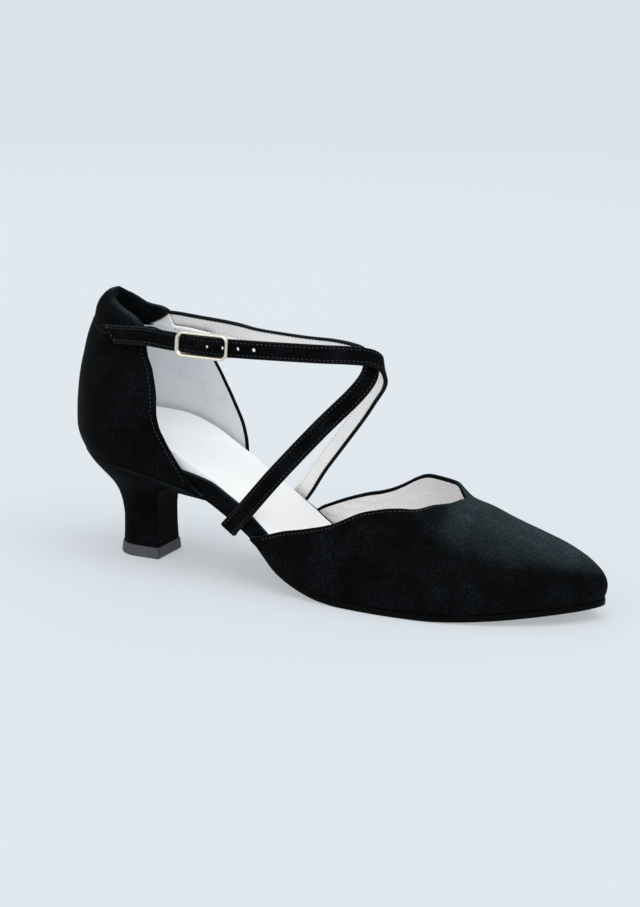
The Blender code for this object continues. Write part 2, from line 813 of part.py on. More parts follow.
def quarter_point(girth, height):
    """Point on the quarter's outer face, and the way out of it; girth is negative on the outer side."""
    side = -1 if girth < 0 else 1
    low, high = GIRTHS[side]
    places = np.linspace(0, 1, len(low))

    def plan(at):
        bottom = np.array([np.interp(at, places, low[:, k]) for k in (0, 1)])
        top = np.array([np.interp(at, places, high[:, k]) for k in (0, 1)])
        return bottom, bottom + (top - bottom) * rim_share(height)

    at = abs(girth)
    bottom, here = plan(at)
    ahead = plan(min(at + 0.02, 1.0))[1] - plan(max(at - 0.02, 0.0))[1]
    if at < 0.02:
        ahead = np.array([0.0, side * 1.0])
    ahead = unit(ahead)
    outward = np.array([-abs(ahead[1]), side * ahead[0]])
    bulge = HEEL_BULGE * heel_bulge_share(height) * (1 - 0.75 * min(at / 0.7, 1.0))
    here = here + outward * bulge
    floor = feather_height(bottom[0])
    top_share = outer_top_share(at) if side < 0 else inner_top_share(at)
    rim_height = feather_height(0.0) + QUARTER_HEIGHT * top_share
    return np.array([here[0], here[1], floor + (rim_height - floor) * height]), outward


def make_quarter(finish, base):
    """Heel part: level curves from the sole's outline to the rim, cut back at both front edges."""
    columns = 37
    rows = 12
    points = []
    for height in np.linspace(0, 1, rows):
        for turn in np.linspace(-1, 1, columns):
            front = outer_front_share(height) if turn < 0 else inner_front_share(height)
            points.append(quarter_point(turn * front, height)[0])
    faces = []
    for i in range(rows - 1):
        for k in range(columns - 1):
            corner = i * columns + k
            faces.append((corner, corner + 1, corner + columns + 1, corner + columns))
    return shell("quarter", points, faces, finish, base)


def make_collar(finish, base):
    """Padded roll on the quarter's rim, leaning in over the heel, lower towards its two ends."""
    turns = np.linspace(-1, 1, 31)
    rings = []
    for turn in turns:
        girth = turn * COLLAR_END
        rim, outward = quarter_point(girth, 1.0)
        fade = max(1 - abs(turn) ** 16, 0.1) ** 0.35
        height = COLLAR_HEIGHT * (1 - 0.64 * abs(turn) ** 3)
        inward = np.array([-outward[0], -outward[1], 0.0])
        ring = []
        for depth, up, lean in COLLAR_SECTION:
            deep = COLLAR_PAD * depth + COLLAR_LEAN * lean * (1 - 0.85 * abs(turn))
            ring.append(rim + inward * deep + np.array([0, 0, GAP + height * up * fade]))
        rings.append(np.array(ring))
    points, faces = loft(rings)
    return mesh_object("collar", points, faces, finish, base)


def lifted(girth, height, lift):
    """A strap's route point beside the quarter's rim, and the way that the strap's face looks."""
    rim, outward = quarter_point(girth, 1.0)
    face = unit((outward[0], outward[1], STRAP_LEAN))
    climb = unit((-outward[0] * STRAP_LEAN, -outward[1] * STRAP_LEAN, 1.0))
    place = rim + climb * (height - rim[2]) + face * lift
    return np.concatenate([place, face])


def route_points(table):
    rows = []
    for along, across, height, face in table:
        place = (along * SOLE_LENGTH, across * BALL_WIDTH, height * STRAP_HEIGHT)
        rows.append(np.concatenate([place, unit(face)]))
    return rows


def cross_route():
    lift = GAP + STRAP_THICKNESS / 2
    rows = route_points(CROSS_ROUTE)
    rows += [lifted(girth, height * STRAP_HEIGHT, lift) for girth, height in CROSS_REST]
    return smooth_path(rows, ROUTE_STEPS)


def buckle_route():
    lift = 2 * GAP + TAB_THICKNESS + STRAP_THICKNESS / 2
    rows = [lifted(girth, height * STRAP_HEIGHT, lift) for girth, height in TAIL_REST]
    return smooth_path(rows + route_points(BUCKLE_ROUTE), ROUTE_STEPS)


def frames(route):
    """Give each route point the strap's own directions: along it, out of its face, and across it."""
    along = np.gradient(route[:, :3], axis=0)
    along /= np.linalg.norm(along, axis=1)[:, None]
    face = route[:, 3:6] - along * np.sum(route[:, 3:6] * along, axis=1)[:, None]
    face /= np.linalg.norm(face, axis=1)[:, None]
    return along, face, np.cross(along, face)


def ribbon(name, route, size, finish, base, slant=0.0):
    """A flat strap along a route, its four long edges taken off and its first end cut on a slant."""
    along, face, across = frames(route)
    width, thickness = size
    c = thickness * 0.3
    w, t = width / 2, thickness / 2
    half = ((w - c, t), (w, t - c), (w, c - t), (w - c, -t))
    section = half + tuple((-a, f) for a, f in reversed(half))
    reach = distance_along(route)
    rings = []
    for i in range(len(route)):
        shear = slant / width * max(1 - reach[i] / SLANT_FADE, 0.0)
        ring = [
            route[i, :3] + across[i] * a + face[i] * f + along[i] * shear * (a + w) for a, f in section
        ]
        rings.append(np.array(ring))
    points, faces = loft(rings)
    return mesh_object(name, points, faces, finish, base)


def make_cross_strap(finish, base):
    return ribbon("cross_strap", cross_route(), (STRAP_WIDTH, STRAP_THICKNESS), finish, base)


def buckle_place():
    """Index on the buckle strap's route at the middle of the buckle."""
    return ROUTE_STEPS * len(TAIL_REST)


def make_buckle_strap(finish, base):
    """Strap with its slanted tail on the quarter, and a row of holes from the buckle forward."""
    route = buckle_route()
    size = (STRAP_WIDTH, STRAP_THICKNESS)
    strap = ribbon("buckle_strap", route, size, finish, base, slant=TAIL_SLANT)
    along, face, across = frames(route)
    reach = distance_along(route)
    start = reach[buckle_place()]
    for hole in range(HOLES):
        at = start + (hole - 1) * HOLE_SPACING
        place = np.array([np.interp(at, reach, route[:, k]) for k in range(3)])
        nearest = int(np.argmin(np.abs(reach - at)))
        punch(strap, f"hole_{hole}", place, face[nearest], along[nearest], STRAP_THICKNESS)
    return strap


def punch(target, name, place, axis, side, thickness):
    """Cut a round hole through a thin piece, centred on a place within it."""
    across = unit(np.cross(axis, side))
    side = np.cross(across, axis)
    rings = []
    for end in (-thickness, thickness):
        ring = []
        for k in range(HOLE_SIDES):
            turn = 2 * math.pi * k / HOLE_SIDES
            way = side * math.cos(turn) + across * math.sin(turn)
            ring.append(place + axis * end + way * HOLE_DIAMETER / 2)
        rings.append(np.array(ring))
    points, faces = loft(rings)
    body = bpy.data.meshes.new(f"{name}_cutter")
    body.from_pydata([tuple(p) for p in points], [], faces)
    cutter = bpy.data.objects.new(f"{name}_cutter", body)
    bpy.context.collection.objects.link(cutter)
    cutter.parent = target.parent
    cutter.hide_render = True
    cutter.display_type = "WIRE"
    cut = target.modifiers.new(name, "BOOLEAN")
    cut.object = cutter
    cut.solver = "EXACT"


def make_buckle_tab(finish, base):
    """Short strap from the quarter: over the buckle's bar, round it and back under itself."""
    route = buckle_route()
    along, face, across = frames(route)
    at = buckle_place()
    depth = STRAP_THICKNESS / 2 + GAP + TAB_THICKNESS / 2
    lift = GAP + TAB_THICKNESS / 2
    rows = [lifted(girth, height * STRAP_HEIGHT + TAB_STEP, lift) for girth, height in TAB_REST]
    rows.append(np.concatenate([route[at - 2, :3] - face[at - 2] * depth, face[at - 2]]))
    radius = BAR_THICKNESS / 2 + GAP + TAB_THICKNESS / 2
    centre = route[at, :3] - face[at] * (depth + radius)
    rows.append(np.concatenate([centre + face[at] * radius - along[at] * 2 * radius, face[at]]))

    # the bend and the end turned under are evenly spaced already, so only the part before is smoothed
    bend = []
    for turn in (90, 60, 30, 0, -30, -60, -90):
        angle = math.radians(turn)
        way = face[at] * math.sin(angle) + along[at] * math.cos(angle)
        bend.append(np.concatenate([centre + way * radius, way]))
    for back in (2 * radius, 5 * radius):
        bend.append(np.concatenate([centre - face[at] * radius - along[at] * back, -face[at]]))
    path = np.vstack([smooth_path(rows, 2), bend])
    tab = ribbon("buckle_tab", path, (STRAP_WIDTH, TAB_THICKNESS), finish, base)
    punch(tab, "stud_hole", route[at, :3] - face[at] * depth, face[at], along[at], TAB_THICKNESS)
    return tab


def frame_outline():
    """Middle of the frame's wire, along and across from the bar, with two points at each bar end."""
    radius = BUCKLE_CORNER - BUCKLE_WIRE / 2
    outline = []
    joints = []
    for side_x, side_y, first in ((1, 1, 0), (-1, 1, 90), (-1, -1, 180), (1, -1, 270)):
        for turn in (0, 30, 60, 90):
            angle = math.radians(first + turn)
            x = side_x * (BUCKLE_LENGTH - BUCKLE_WIRE - 2 * radius) / 2 + radius * math.cos(angle)
            y = side_y * (BUCKLE_HEIGHT - BUCKLE_WIRE - 2 * radius) / 2 + radius * math.sin(angle)
            outline.append((x - BAR_OFFSET, y))
        if side_x == side_y:
            joints.append((len(outline), side_y))
            high = side_y * (BUCKLE_HEIGHT - BUCKLE_WIRE) / 2
            outline += [(side_x * BAR_THICKNESS / 2, high), (-side_x * BAR_THICKNESS / 2, high)]
    return outline, joints


def make_buckle_frame(finish, base):
    """Wire frame round the strap's edges, one with its bar under the strap and the bar's stud."""
    route = buckle_route()
    along, face, across = frames(route)
    at = buckle_place()

    def place(x, y, z):
        return route[at, :3] + along[at] * x + across[at] * y + face[at] * z

    wire = BUCKLE_WIRE / 2
    lift = STRAP_THICKNESS / 2 + GAP + wire
    outline, joints = frame_outline()
    points = []
    for i, (x, y) in enumerate(outline):
        before, after = outline[i - 1], outline[(i + 1) % len(outline)]
        way = unit((after[0] - before[0], after[1] - before[1]))
        for k in range(WIRE_SIDES):
            turn = 2 * math.pi * k / WIRE_SIDES
            out = wire * math.cos(turn)
            points.append(place(x + way[1] * out, y - way[0] * out, lift + wire * math.sin(turn)))

    # the bar leaves the lower facets of the wire, between its inner and outer corner
    foot = (5 * WIRE_SIDES // 8, 6 * WIRE_SIDES // 8, 7 * WIRE_SIDES // 8)
    faces = []
    for i in range(len(outline)):
        here = i * WIRE_SIDES
        there = (i + 1) % len(outline) * WIRE_SIDES
        at_bar = i in [first for first, _ in joints]
        for k in range(WIRE_SIDES):
            nxt = (k + 1) % WIRE_SIDES
            if not (at_bar and foot[0] <= k < foot[2]):
                faces.append((here + k, here + nxt, there + nxt, there + k))

    corner = wire * math.cos(math.pi / 4)
    bar_depth = STRAP_THICKNESS / 2 + 2 * GAP + TAB_THICKNESS + corner
    half_bar = BAR_THICKNESS / 2
    section = [(half_bar, c) for c in (-corner, 0, corner)]
    section += [(-half_bar, c) for c in (corner, 0, -corner)]
    rings = []
    high = (BUCKLE_HEIGHT - BUCKLE_WIRE) / 2
    for first, side in joints:
        here, there = first * WIRE_SIDES, (first + 1) * WIRE_SIDES
        ends = [here + k for k in foot], [there + k for k in foot]
        if side < 0:
            ends = ends[::-1]
        rings.append(ends[0] + ends[1][::-1])
        elbow = [place(x, side * (high + c), -bar_depth - c) for x, c in section]
        stud_side = [place(x, side * STUD_WIDTH / 2, -bar_depth - c) for x, c in section]
        for ring in (elbow, stud_side):
            rings.append(list(range(len(points), len(points) + len(ring))))
            points += ring
    rings = rings[:3] + rings[:2:-1]
    for i in range(len(rings) - 1):
        for k in range(len(section)):
            nxt = (k + 1) % len(section)
            on_stud = i == 2 and k == len(section) - 1
            if not on_stud:
                faces.append((rings[i][k], rings[i][nxt], rings[i + 1][nxt], rings[i + 1][k]))

    low = [rings[2][0], rings[2][-1], rings[3][-1], rings[3][0]]
    half_stud = STUD_WIDTH / 2
    top = list(range(len(points), len(points) + 4))
    for x, y in ((1, 1), (-1, 1), (-1, -1), (1, -1)):
        points.append(place(x * half_stud, y * half_stud, STRAP_THICKNESS / 2 + GAP))
    for k in range(4):
        nxt = (k + 1) % 4
        faces.append((low[k], low[nxt], top[nxt], top[k]))
    faces.append(tuple(top))
    return mesh_object("buckle_frame", points, faces, finish, base)


def main():
    for old in list(bpy.data.objects):
        bpy.data.objects.remove(old, do_unlink=True)

    base = bpy.data.objects.new("shoe", None)
    base.location = (-(BREAST_DISTANCE - HEEL_BOTTOM_LENGTH / 2), 0.0, 0.0)
    bpy.context.collection.objects.link(base)

    suede = material("black suede", (0.012, 0.012, 0.013), 0.95)
    lining = material("white leather", (0.78, 0.77, 0.75), 0.5)
    tread = material("dark sole suede", (0.03, 0.028, 0.027), 0.9)
    rubber = material("grey rubber", (0.10, 0.10, 0.105), 0.6)
    metal = material("pale gold metal", (0.80, 0.70, 0.52), 0.25, 1.0)

    make_outsole(tread, base)
    make_insole_board(suede, base)
    make_sock_lining(lining, base)
    make_heel_block(suede, base)
    make_heel_top_piece(rubber, base)
    make_vamp(suede, base)
    make_quarter(suede, base)
    make_collar(suede, base)
    make_cross_strap(suede, base)
    make_buckle_strap(suede, base)
    make_buckle_tab(suede, base)
    make_buckle_frame(metal, base)


if __name__ == "__main__":
    main()
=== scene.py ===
"""The looks of a woman's ballroom court shoe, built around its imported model.

Units are metres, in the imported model's frame. The last is worked out in its own frame, with X
forward from the back of the heel seat, and every finished piece is moved back by HEEL_CENTRE.
"""

import logging
import math
from contextlib import contextmanager
from dataclasses import dataclass, field
from enum import Enum
from typing import Callable, Iterator, Sequence

import bmesh
import bpy
import numpy as np
from mathutils import Matrix, Vector, noise
from mathutils.bvhtree import BVHTree
from mathutils.kdtree import KDTree


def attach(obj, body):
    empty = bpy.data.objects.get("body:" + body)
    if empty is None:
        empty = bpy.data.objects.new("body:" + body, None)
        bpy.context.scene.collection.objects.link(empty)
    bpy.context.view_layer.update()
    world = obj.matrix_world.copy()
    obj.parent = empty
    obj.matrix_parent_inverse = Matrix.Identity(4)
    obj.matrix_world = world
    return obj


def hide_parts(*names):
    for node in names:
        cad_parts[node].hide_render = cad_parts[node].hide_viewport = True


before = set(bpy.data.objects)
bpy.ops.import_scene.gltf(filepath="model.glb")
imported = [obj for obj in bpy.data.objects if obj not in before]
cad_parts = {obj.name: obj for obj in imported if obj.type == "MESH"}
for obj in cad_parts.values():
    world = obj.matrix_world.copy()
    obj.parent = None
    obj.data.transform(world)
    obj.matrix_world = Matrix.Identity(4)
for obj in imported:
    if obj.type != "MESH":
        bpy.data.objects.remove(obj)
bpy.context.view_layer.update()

LOG = logging.getLogger("ballroom_shoe")
FACE_SLOT, LINING_SLOT, THIRD_SLOT = 0, 1, 2
HEEL_CENTRE = np.array([0.0326, 0.0, 0.0])
Curve = Callable[[np.ndarray], np.ndarray]
Surface = Callable[[float, float], float]
Relief = Callable[[Vector], float]
NodeEnd = bpy.types.NodeSocket | bpy.types.NodeOutputs

# Edge of the upper on the sole: share along the sole, outer and inner half width over the ball width
OUTLINE = (
    (0.016, 0.095, 0.093), (0.034, 0.190, 0.184), (0.063, 0.273, 0.260), (0.107, 0.331, 0.314),
    (0.164, 0.362, 0.336), (0.238, 0.362, 0.332), (0.311, 0.352, 0.312), (0.369, 0.362, 0.299),
    (0.430, 0.402, 0.330), (0.500, 0.448, 0.396), (0.574, 0.485, 0.457), (0.648, 0.501, 0.492),
    (0.705, 0.494, 0.502), (0.754, 0.474, 0.493), (0.807, 0.426, 0.458), (0.861, 0.358, 0.400),
    (0.910, 0.273, 0.326), (0.951, 0.177, 0.241), (0.982, 0.079, 0.154),
)

# Underside of the sole: share along it, height over the heel height, height over the toe spring
UNDERSIDE = (
    (-0.020, 1.010, 0.0), (0.000, 1.000, 0.0), (0.027, 0.973, 0.0), (0.070, 0.922, 0.0),
    (0.111, 0.901, 0.0), (0.146, 0.888, 0.0), (0.176, 0.867, 0.0), (0.215, 0.827, 0.0),
    (0.246, 0.786, 0.0), (0.266, 0.753, 0.0), (0.285, 0.710, 0.0), (0.302, 0.662, 0.0),
    (0.332, 0.556, 0.0), (0.373, 0.425, 0.0), (0.393, 0.362, 0.0), (0.422, 0.269, 0.0),
    (0.457, 0.156, 0.0), (0.484, 0.094, 0.0), (0.508, 0.053, 0.0), (0.541, 0.016, 0.0),
    (0.582, 0.000, 0.0), (0.730, 0.000, 0.0), (0.779, 0.000, 0.08), (0.840, 0.000, 0.28),
    (0.902, 0.000, 0.56), (0.951, 0.000, 0.79), (1.000, 0.000, 1.0), (1.050, 0.000, 1.2),
)

# Layers: share along the sole, then shares of the outsole, the board, the outsole's inset at the
# waist, the heel pad and the heel cup
LAYERS = (
    (0.00, 0.40, 0.60, 0.12, 1.00, 1.00), (0.16, 0.40, 0.62, 0.12, 1.00, 0.95),
    (0.23, 0.50, 0.72, 0.30, 0.70, 0.62), (0.27, 0.65, 0.76, 0.55, 0.42, 0.26),
    (0.31, 0.90, 0.82, 0.80, 0.15, 0.05), (0.34, 1.00, 0.94, 1.00, 0.00, 0.00),
    (0.37, 1.00, 1.00, 1.00, 0.00, 0.00), (0.41, 1.00, 0.96, 0.55, 0.00, 0.00),
    (0.45, 1.00, 0.80, 0.16, 0.00, 0.00), (0.54, 1.00, 0.58, 0.08, 0.00, 0.00),
    (0.65, 1.00, 0.48, 0.04, 0.00, 0.00), (0.90, 0.90, 0.42, 0.00, 0.00, 0.00),
    (1.00, 0.80, 0.42, -0.10, 0.00, 0.00),
)

# Ridge of the vamp: share along the sole, height over the instep height
RIDGE = (
    (0.37, 2.22), (0.41, 2.08), (0.49, 1.82), (0.574, 1.56), (0.656, 1.32), (0.70, 1.17),
    (0.742, 0.970), (0.78, 0.908), (0.82, 0.825), (0.87, 0.740), (0.91, 0.672), (0.95, 0.600),
)

# Swell of a vamp rib: share along the sole, upright share, bulge share, crown share
RIB_SHAPE = (
    (0.37, 0.45, 0.3, 0.35), (0.50, 0.45, 0.5, 0.40), (0.60, 0.48, 0.7, 0.45), (0.70, 0.50, 0.9, 0.50),
    (0.80, 0.50, 1.0, 0.55), (0.90, 0.48, 1.2, 0.68), (1.00, 0.45, 1.6, 0.80),
)

# Topline of the vamp: share of the way from wing to throat, share of the rib that is kept
OUTER_TOPLINE = (
    (0.00, 0.015), (0.05, 0.050), (0.10, 0.094), (0.19, 0.168), (0.33, 0.250), (0.47, 0.327),
    (0.59, 0.419), (0.67, 0.472), (0.78, 0.543), (0.84, 0.582), (0.88, 0.630), (0.91, 0.692),
    (0.94, 0.758), (0.97, 0.840), (1.00, 1.000),
)
INNER_TOPLINE = (
    (0.00, 0.040), (0.08, 0.122), (0.18, 0.200), (0.31, 0.280), (0.41, 0.327), (0.47, 0.362),
    (0.54, 0.415), (0.61, 0.484), (0.69, 0.558), (0.76, 0.602), (0.82, 0.645), (0.87, 0.700),
    (0.91, 0.775), (0.95, 0.880), (1.00, 1.000),
)

# Rim of the quarter: share from the collar's back to its reach, half width over the collar width
COLLAR_OUTLINE = (
    (0.02, 0.125), (0.08, 0.240), (0.18, 0.325), (0.36, 0.368), (0.58, 0.395), (0.80, 0.450),
    (1.00, 0.505),
)

# Quarter, going up: share of its height, share of the way to the rim, bulge over the heel bulge
QUARTER_SHAPE = (
    (0.00, 0.00, 0.00), (0.06, 0.00, 0.50), (0.15, 0.01, 0.90), (0.30, 0.06, 1.00), (0.45, 0.18, 1.00),
    (0.60, 0.37, 0.95), (0.74, 0.60, 0.77), (0.87, 0.80, 0.52), (1.00, 1.00, 0.00),
)

# Front edges of the quarter: share of its height, outer and inner share of its girth
QUARTER_FRONT = (
    (0.00, 0.920, 0.895), (0.03, 0.862, 0.895), (0.10, 0.824, 0.895), (0.17, 0.785, 0.893),
    (0.28, 0.732, 0.880), (0.37, 0.700, 0.860), (0.45, 0.690, 0.842), (0.60, 0.696, 0.815),
    (0.75, 0.685, 0.800), (0.85, 0.655, 0.830), (1.00, 0.640, 0.900),
)

# Top edge of the quarter: share of the girth, outer and inner height over the quarter height
QUARTER_TOP = (
    (0.00, 1.000, 1.000), (0.12, 0.990, 0.990), (0.20, 0.955, 0.955), (0.27, 0.924, 0.926),
    (0.42, 0.906, 0.916), (0.52, 0.925, 0.962), (0.58, 0.938, 1.008), (0.66, 0.945, 1.006),
    (0.80, 0.945, 0.985), (1.00, 0.945, 0.957),
)

# Cross-section of the collar: depth inward over the pad, height over the collar height, lean share
COLLAR_SECTION = (
    (0.00, 0.00, 0.00), (0.00, 0.16, 0.04), (0.00, 0.36, 0.14), (0.01, 0.58, 0.36), (0.08, 0.78, 0.66),
    (0.26, 0.94, 0.93), (0.55, 1.00, 1.06), (0.84, 0.95, 1.00), (1.00, 0.82, 0.84), (1.00, 0.62, 0.52),
    (0.92, 0.38, 0.20), (0.80, 0.16, 0.03), (0.62, 0.00, 0.00),
)

# Heel block, going up: share of its height, flare share at the back and at the breast
HEEL_FLARE = (
    (0.00, 0.00, 0.000), (0.14, -0.010, -0.012), (0.27, -0.008, -0.020), (0.43, 0.045, -0.026),
    (0.565, 0.15, -0.030), (0.69, 0.335, -0.028), (0.79, 0.56, -0.018), (0.87, 0.75, 0.015),
    (0.93, 0.88, 0.080), (0.97, 0.95, 0.260), (1.00, 1.00, 1.000),
)

# Strap from the outer waist to the inner quarter: share along the sole, across over the ball width,
# height over the strap height, and the way that its outer face looks (forward, inward, up)
CROSS_ROUTE = (
    (0.350, -0.300, 0.234, (-0.54, 0.1, -0.84)), (0.351, -0.345, 0.238, (-0.45, -0.5, -0.7)),
    (0.365, -0.366, 0.275, (-0.12, -1.0, -0.1)), (0.389, -0.366, 0.345, (0.0, -1.0, 0.0)),
    (0.434, -0.318, 0.490, (0.2, -1.0, 0.1)), (0.500, -0.225, 0.690, (0.4, -0.9, 0.2)),
    (0.549, -0.120, 0.833, (0.6, -0.75, 0.35)), (0.566, -0.059, 0.900, (0.66, -0.5, 0.5)),
    (0.566, 0.008, 0.950, (0.68, -0.1, 0.7)), (0.555, 0.066, 0.980, (0.6, 0.4, 0.65)),
    (0.529, 0.119, 0.990, (0.4, 0.8, 0.4)), (0.471, 0.179, 0.989, (0.25, 0.95, 0.2)),
    (0.410, 0.225, 0.980, (0.15, 0.98, 0.1)), (0.324, 0.265, 0.980, (0.05, 1.0, 0.05)),
)

# Strap from the buckle to the inner waist, in the same columns
BUCKLE_ROUTE = (
    (0.297, -0.296, 1.009, (0.02, -1.0, 0.1)), (0.360, -0.285, 1.013, (0.1, -1.0, 0.1)),
    (0.412, -0.248, 1.013, (0.25, -0.96, 0.1)), (0.489, -0.166, 1.010, (0.4, -0.88, 0.2)),
    (0.529, -0.093, 1.006, (0.5, -0.78, 0.35)), (0.559, -0.033, 0.999, (0.6, -0.62, 0.45)),
    (0.576, 0.010, 0.983, (0.72, -0.35, 0.5)), (0.581, 0.060, 0.939, (0.8, 0.2, 0.45)),
    (0.572, 0.115, 0.878, (0.72, 0.6, 0.33)), (0.549, 0.177, 0.807, (0.6, 0.75, 0.25)),
    (0.513, 0.230, 0.687, (0.48, 0.86, 0.15)), (0.475, 0.268, 0.566, (0.42, 0.9, 0.1)),
    (0.438, 0.292, 0.444, (0.35, 0.93, 0.05)), (0.411, 0.302, 0.340, (0.2, 0.98, 0.0)),
    (0.392, 0.302, 0.275, (-0.12, 1.0, -0.1)), (0.377, 0.290, 0.222, (-0.45, 0.5, -0.7)),
    (0.374, 0.245, 0.212, (-0.54, -0.1, -0.84)),
)

# Cross-section of the buckle's frame over half its width: outward and up, its inner slope steep
FRAME_SECTION = (
    (1.00, 0.00), (0.93, 0.45), (0.65, 0.78), (0.25, 0.90), (-0.12, 0.80), (-0.40, 0.42),
    (-0.62, 0.02), (-0.80, -0.34), (-0.74, -0.64), (-0.34, -0.78), (0.30, -0.78), (0.78, -0.52),
)

# Rubber top piece, going up: share of its height, share of the flare at its foot
TOP_PIECE_SHAPE = ((0.0, 0.6), (0.06, 0.85), (0.14, 1.0), (0.44, 0.85), (0.92, 0.55), (1.0, 0.4))

# Soft troughs in the vamp: place along the shoe, slant, lower and upper end, depth
CREASES = (
    (0.150, -0.25, 0.012, 0.040, 0.00022),
    (0.163, -0.40, 0.016, 0.048, 0.00018),
    (0.121, 0.30, 0.004, 0.022, 0.00016),
)

# Head of the buckle's stud, going up: height, width over the stud's
STUD_HEAD = (
    (0.0, 1.0), (0.00005, 1.6), (0.00022, 1.8), (0.00042, 1.65), (0.00058, 1.1), (0.00064, 0.4),
)

# Soft lamps: name, place, size, power, colour
LAMPS = (
    ("rim", (-0.55, 0.95, 0.95), 0.8, 1.6, (0.93, 0.97, 1.0)),
    ("toe", (1.20, 0.15, 0.85), 0.8, 2.0, (0.96, 0.98, 1.0)),
    ("front", (-0.45, -1.25, 0.75), 0.9, 3.2, (1.0, 0.99, 0.98)),
)

# Where the straps lie by the quarter's rim: share of the girth, and height over the strap height
TAIL_REST = ((-0.345, 0.990), (-0.50, 0.996), (-0.66, 1.003))
TAB_REST = ((-0.60, 0.999), (-0.65, 1.001), (-0.71, 1.005))
CROSS_REST = ((0.92, 0.998), (0.78, 1.007), (0.66, 1.015))


def curve_through(rows: Sequence[Sequence[float]], column: int) -> Curve:
    """Make a smooth function of a table's first column that keeps its levels flat.

    Args:
        rows: The table, with rising values in its first column.
        column: The column that the function returns.

    Returns:
        A function of numbers or arrays.
    """
    x = np.array([row[0] for row in rows])
    y = np.array([row[column] for row in rows])
    run = np.diff(x)
    grade = np.diff(y) / run
    slope = np.zeros_like(y)
    slope[0], slope[-1] = grade[0], grade[-1]
    for i in range(1, len(x) - 1):
        if grade[i - 1] * grade[i] > 0:
            weight = (2 * run[i] + run[i - 1], run[i] + 2 * run[i - 1])
            slope[i] = sum(weight) / (weight[0] / grade[i - 1] + weight[1] / grade[i])

    def value(at: np.ndarray) -> np.ndarray:
        """Read the curve at one place or many."""
        at = np.clip(at, x[0], x[-1])
        i = np.clip(np.searchsorted(x, at, side="right") - 1, 0, len(x) - 2)
        h = run[i]
        t = (at - x[i]) / h
        return (
            (1 + 2 * t) * (1 - t) ** 2 * y[i]
            + t * (1 - t) ** 2 * h * slope[i]
            + t * t * (3 - 2 * t) * y[i + 1]
            + t * t * (t - 1) * h * slope[i + 1]
        )

    return value


def curves_of(rows: Sequence[Sequence[float]]) -> list[Curve]:
    """Make a smooth function of a table's first column for each of its other columns."""
    return [curve_through(rows, column) for column in range(1, len(rows[0]))]


def share_of(value: float, low: float = 0.0, high: float = 1.0) -> float:
    """How far a value lies between two bounds, held between 0 and 1."""
    return min(max((value - low) / (high - low), 0.0), 1.0)


def hump(value: float, place: float, width: float) -> float:
    """Height of a smooth hump: 1 at its place, near 0 two widths away."""
    return math.exp(-(((value - place) / width) ** 2))


def side_of(value: float) -> int:
    """Tell the shoe's outer side, -1, from its inner side, 1."""
    return -1 if value < 0 else 1


def smooth_path(points: Sequence[Sequence[float]], steps: int) -> np.ndarray:
    """Run a smooth curve through points.

    Args:
        points: The points, with any number of columns.
        steps: Pieces in each stretch between two points.

    Returns:
        The curve's points, its first and last at the ends of the given ones.
    """
    p = np.asarray(points, float)
    p = np.vstack([2 * p[0] - p[1], p, 2 * p[-1] - p[-2]])
    path = []
    for i in range(1, len(p) - 2):
        knots = [0.0]
        for k in range(3):
            knots.append(knots[-1] + max(np.linalg.norm(p[i + k] - p[i + k - 1]), 1e-9) ** 0.5)
        k0, k1, k2, k3 = knots
        for t in np.linspace(k1, k2, steps, endpoint=False):
            a1 = ((k1 - t) * p[i - 1] + (t - k0) * p[i]) / (k1 - k0)
            a2 = ((k2 - t) * p[i] + (t - k1) * p[i + 1]) / (k2 - k1)
            a3 = ((k3 - t) * p[i + 1] + (t - k2) * p[i + 2]) / (k3 - k2)
            b1 = ((k2 - t) * a1 + (t - k0) * a2) / (k2 - k0)
            b2 = ((k3 - t) * a2 + (t - k1) * a3) / (k3 - k1)
            path.append(((k2 - t) * b1 + (t - k1) * b2) / (k2 - k1))
    path.append(p[-2])
    return np.array(path)


def distance_along(path: np.ndarray) -> np.ndarray:
    """Distance of each point of a path from its start."""
    steps = np.linalg.norm(np.diff(path[:, :3], axis=0), axis=1)
    return np.concatenate([[0], np.cumsum(steps)])


def read_path(path: np.ndarray, reach: np.ndarray, at: float | np.ndarray) -> np.ndarray:
    """Points of a path, one or a row each, at distances along it."""
    return np.array([np.interp(at, reach, column) for column in path.T]).T


def respace(path: np.ndarray, count: int) -> np.ndarray:
    """Spread count points evenly along a path."""
    reach = distance_along(path)
    return read_path(path, reach, np.linspace(0, reach[-1], count))


def unit(v: np.ndarray) -> np.ndarray:
    """Scale vectors, one or a row each, to a length of one."""
    v = np.asarray(v, float)
    return v / np.maximum(np.linalg.norm(v, axis=-1, keepdims=True), 1e-12)


def inset_loop(loop: np.ndarray, distance: float | np.ndarray) -> np.ndarray:
    """Move a closed plan outline inward.

    Args:
        loop: Plan points in order.
        distance: One distance, or one for each point.

    Returns:
        The moved outline.
    """
    along = unit(np.roll(loop, -1, axis=0) - np.roll(loop, 1, axis=0))
    inward = np.stack([-along[:, 1], along[:, 0]], axis=1)
    return loop + inward * np.reshape(distance, (-1, 1))


class PlanSides:
    """A closed plan outline, read as its outer and inner half width along the shoe."""

    def __init__(self, loop: np.ndarray) -> None:
        """Split the outline at its heel and toe ends."""
        rolled = np.roll(loop, -int(np.argmin(loop[:, 0])), axis=0)
        toe = int(np.argmax(rolled[:, 0]))
        self.back = float(rolled[0, 0])
        self.tip = float(rolled[toe, 0])
        self.halves = {}
        for side, half in (
            (-1, rolled[: toe + 1]),
            (1, np.vstack([rolled[toe:], rolled[:1]])[::-1]),
        ):
            keep = np.concatenate([[True], np.diff(np.maximum.accumulate(half[:, 0])) > 0])
            self.halves[side] = half[keep]

    def at(self, x: np.ndarray, side: int) -> np.ndarray:
        """Y of one side at a distance along the shoe."""
        half = self.halves[side_of(side)]
        return np.interp(x, half[:, 0], half[:, 1])


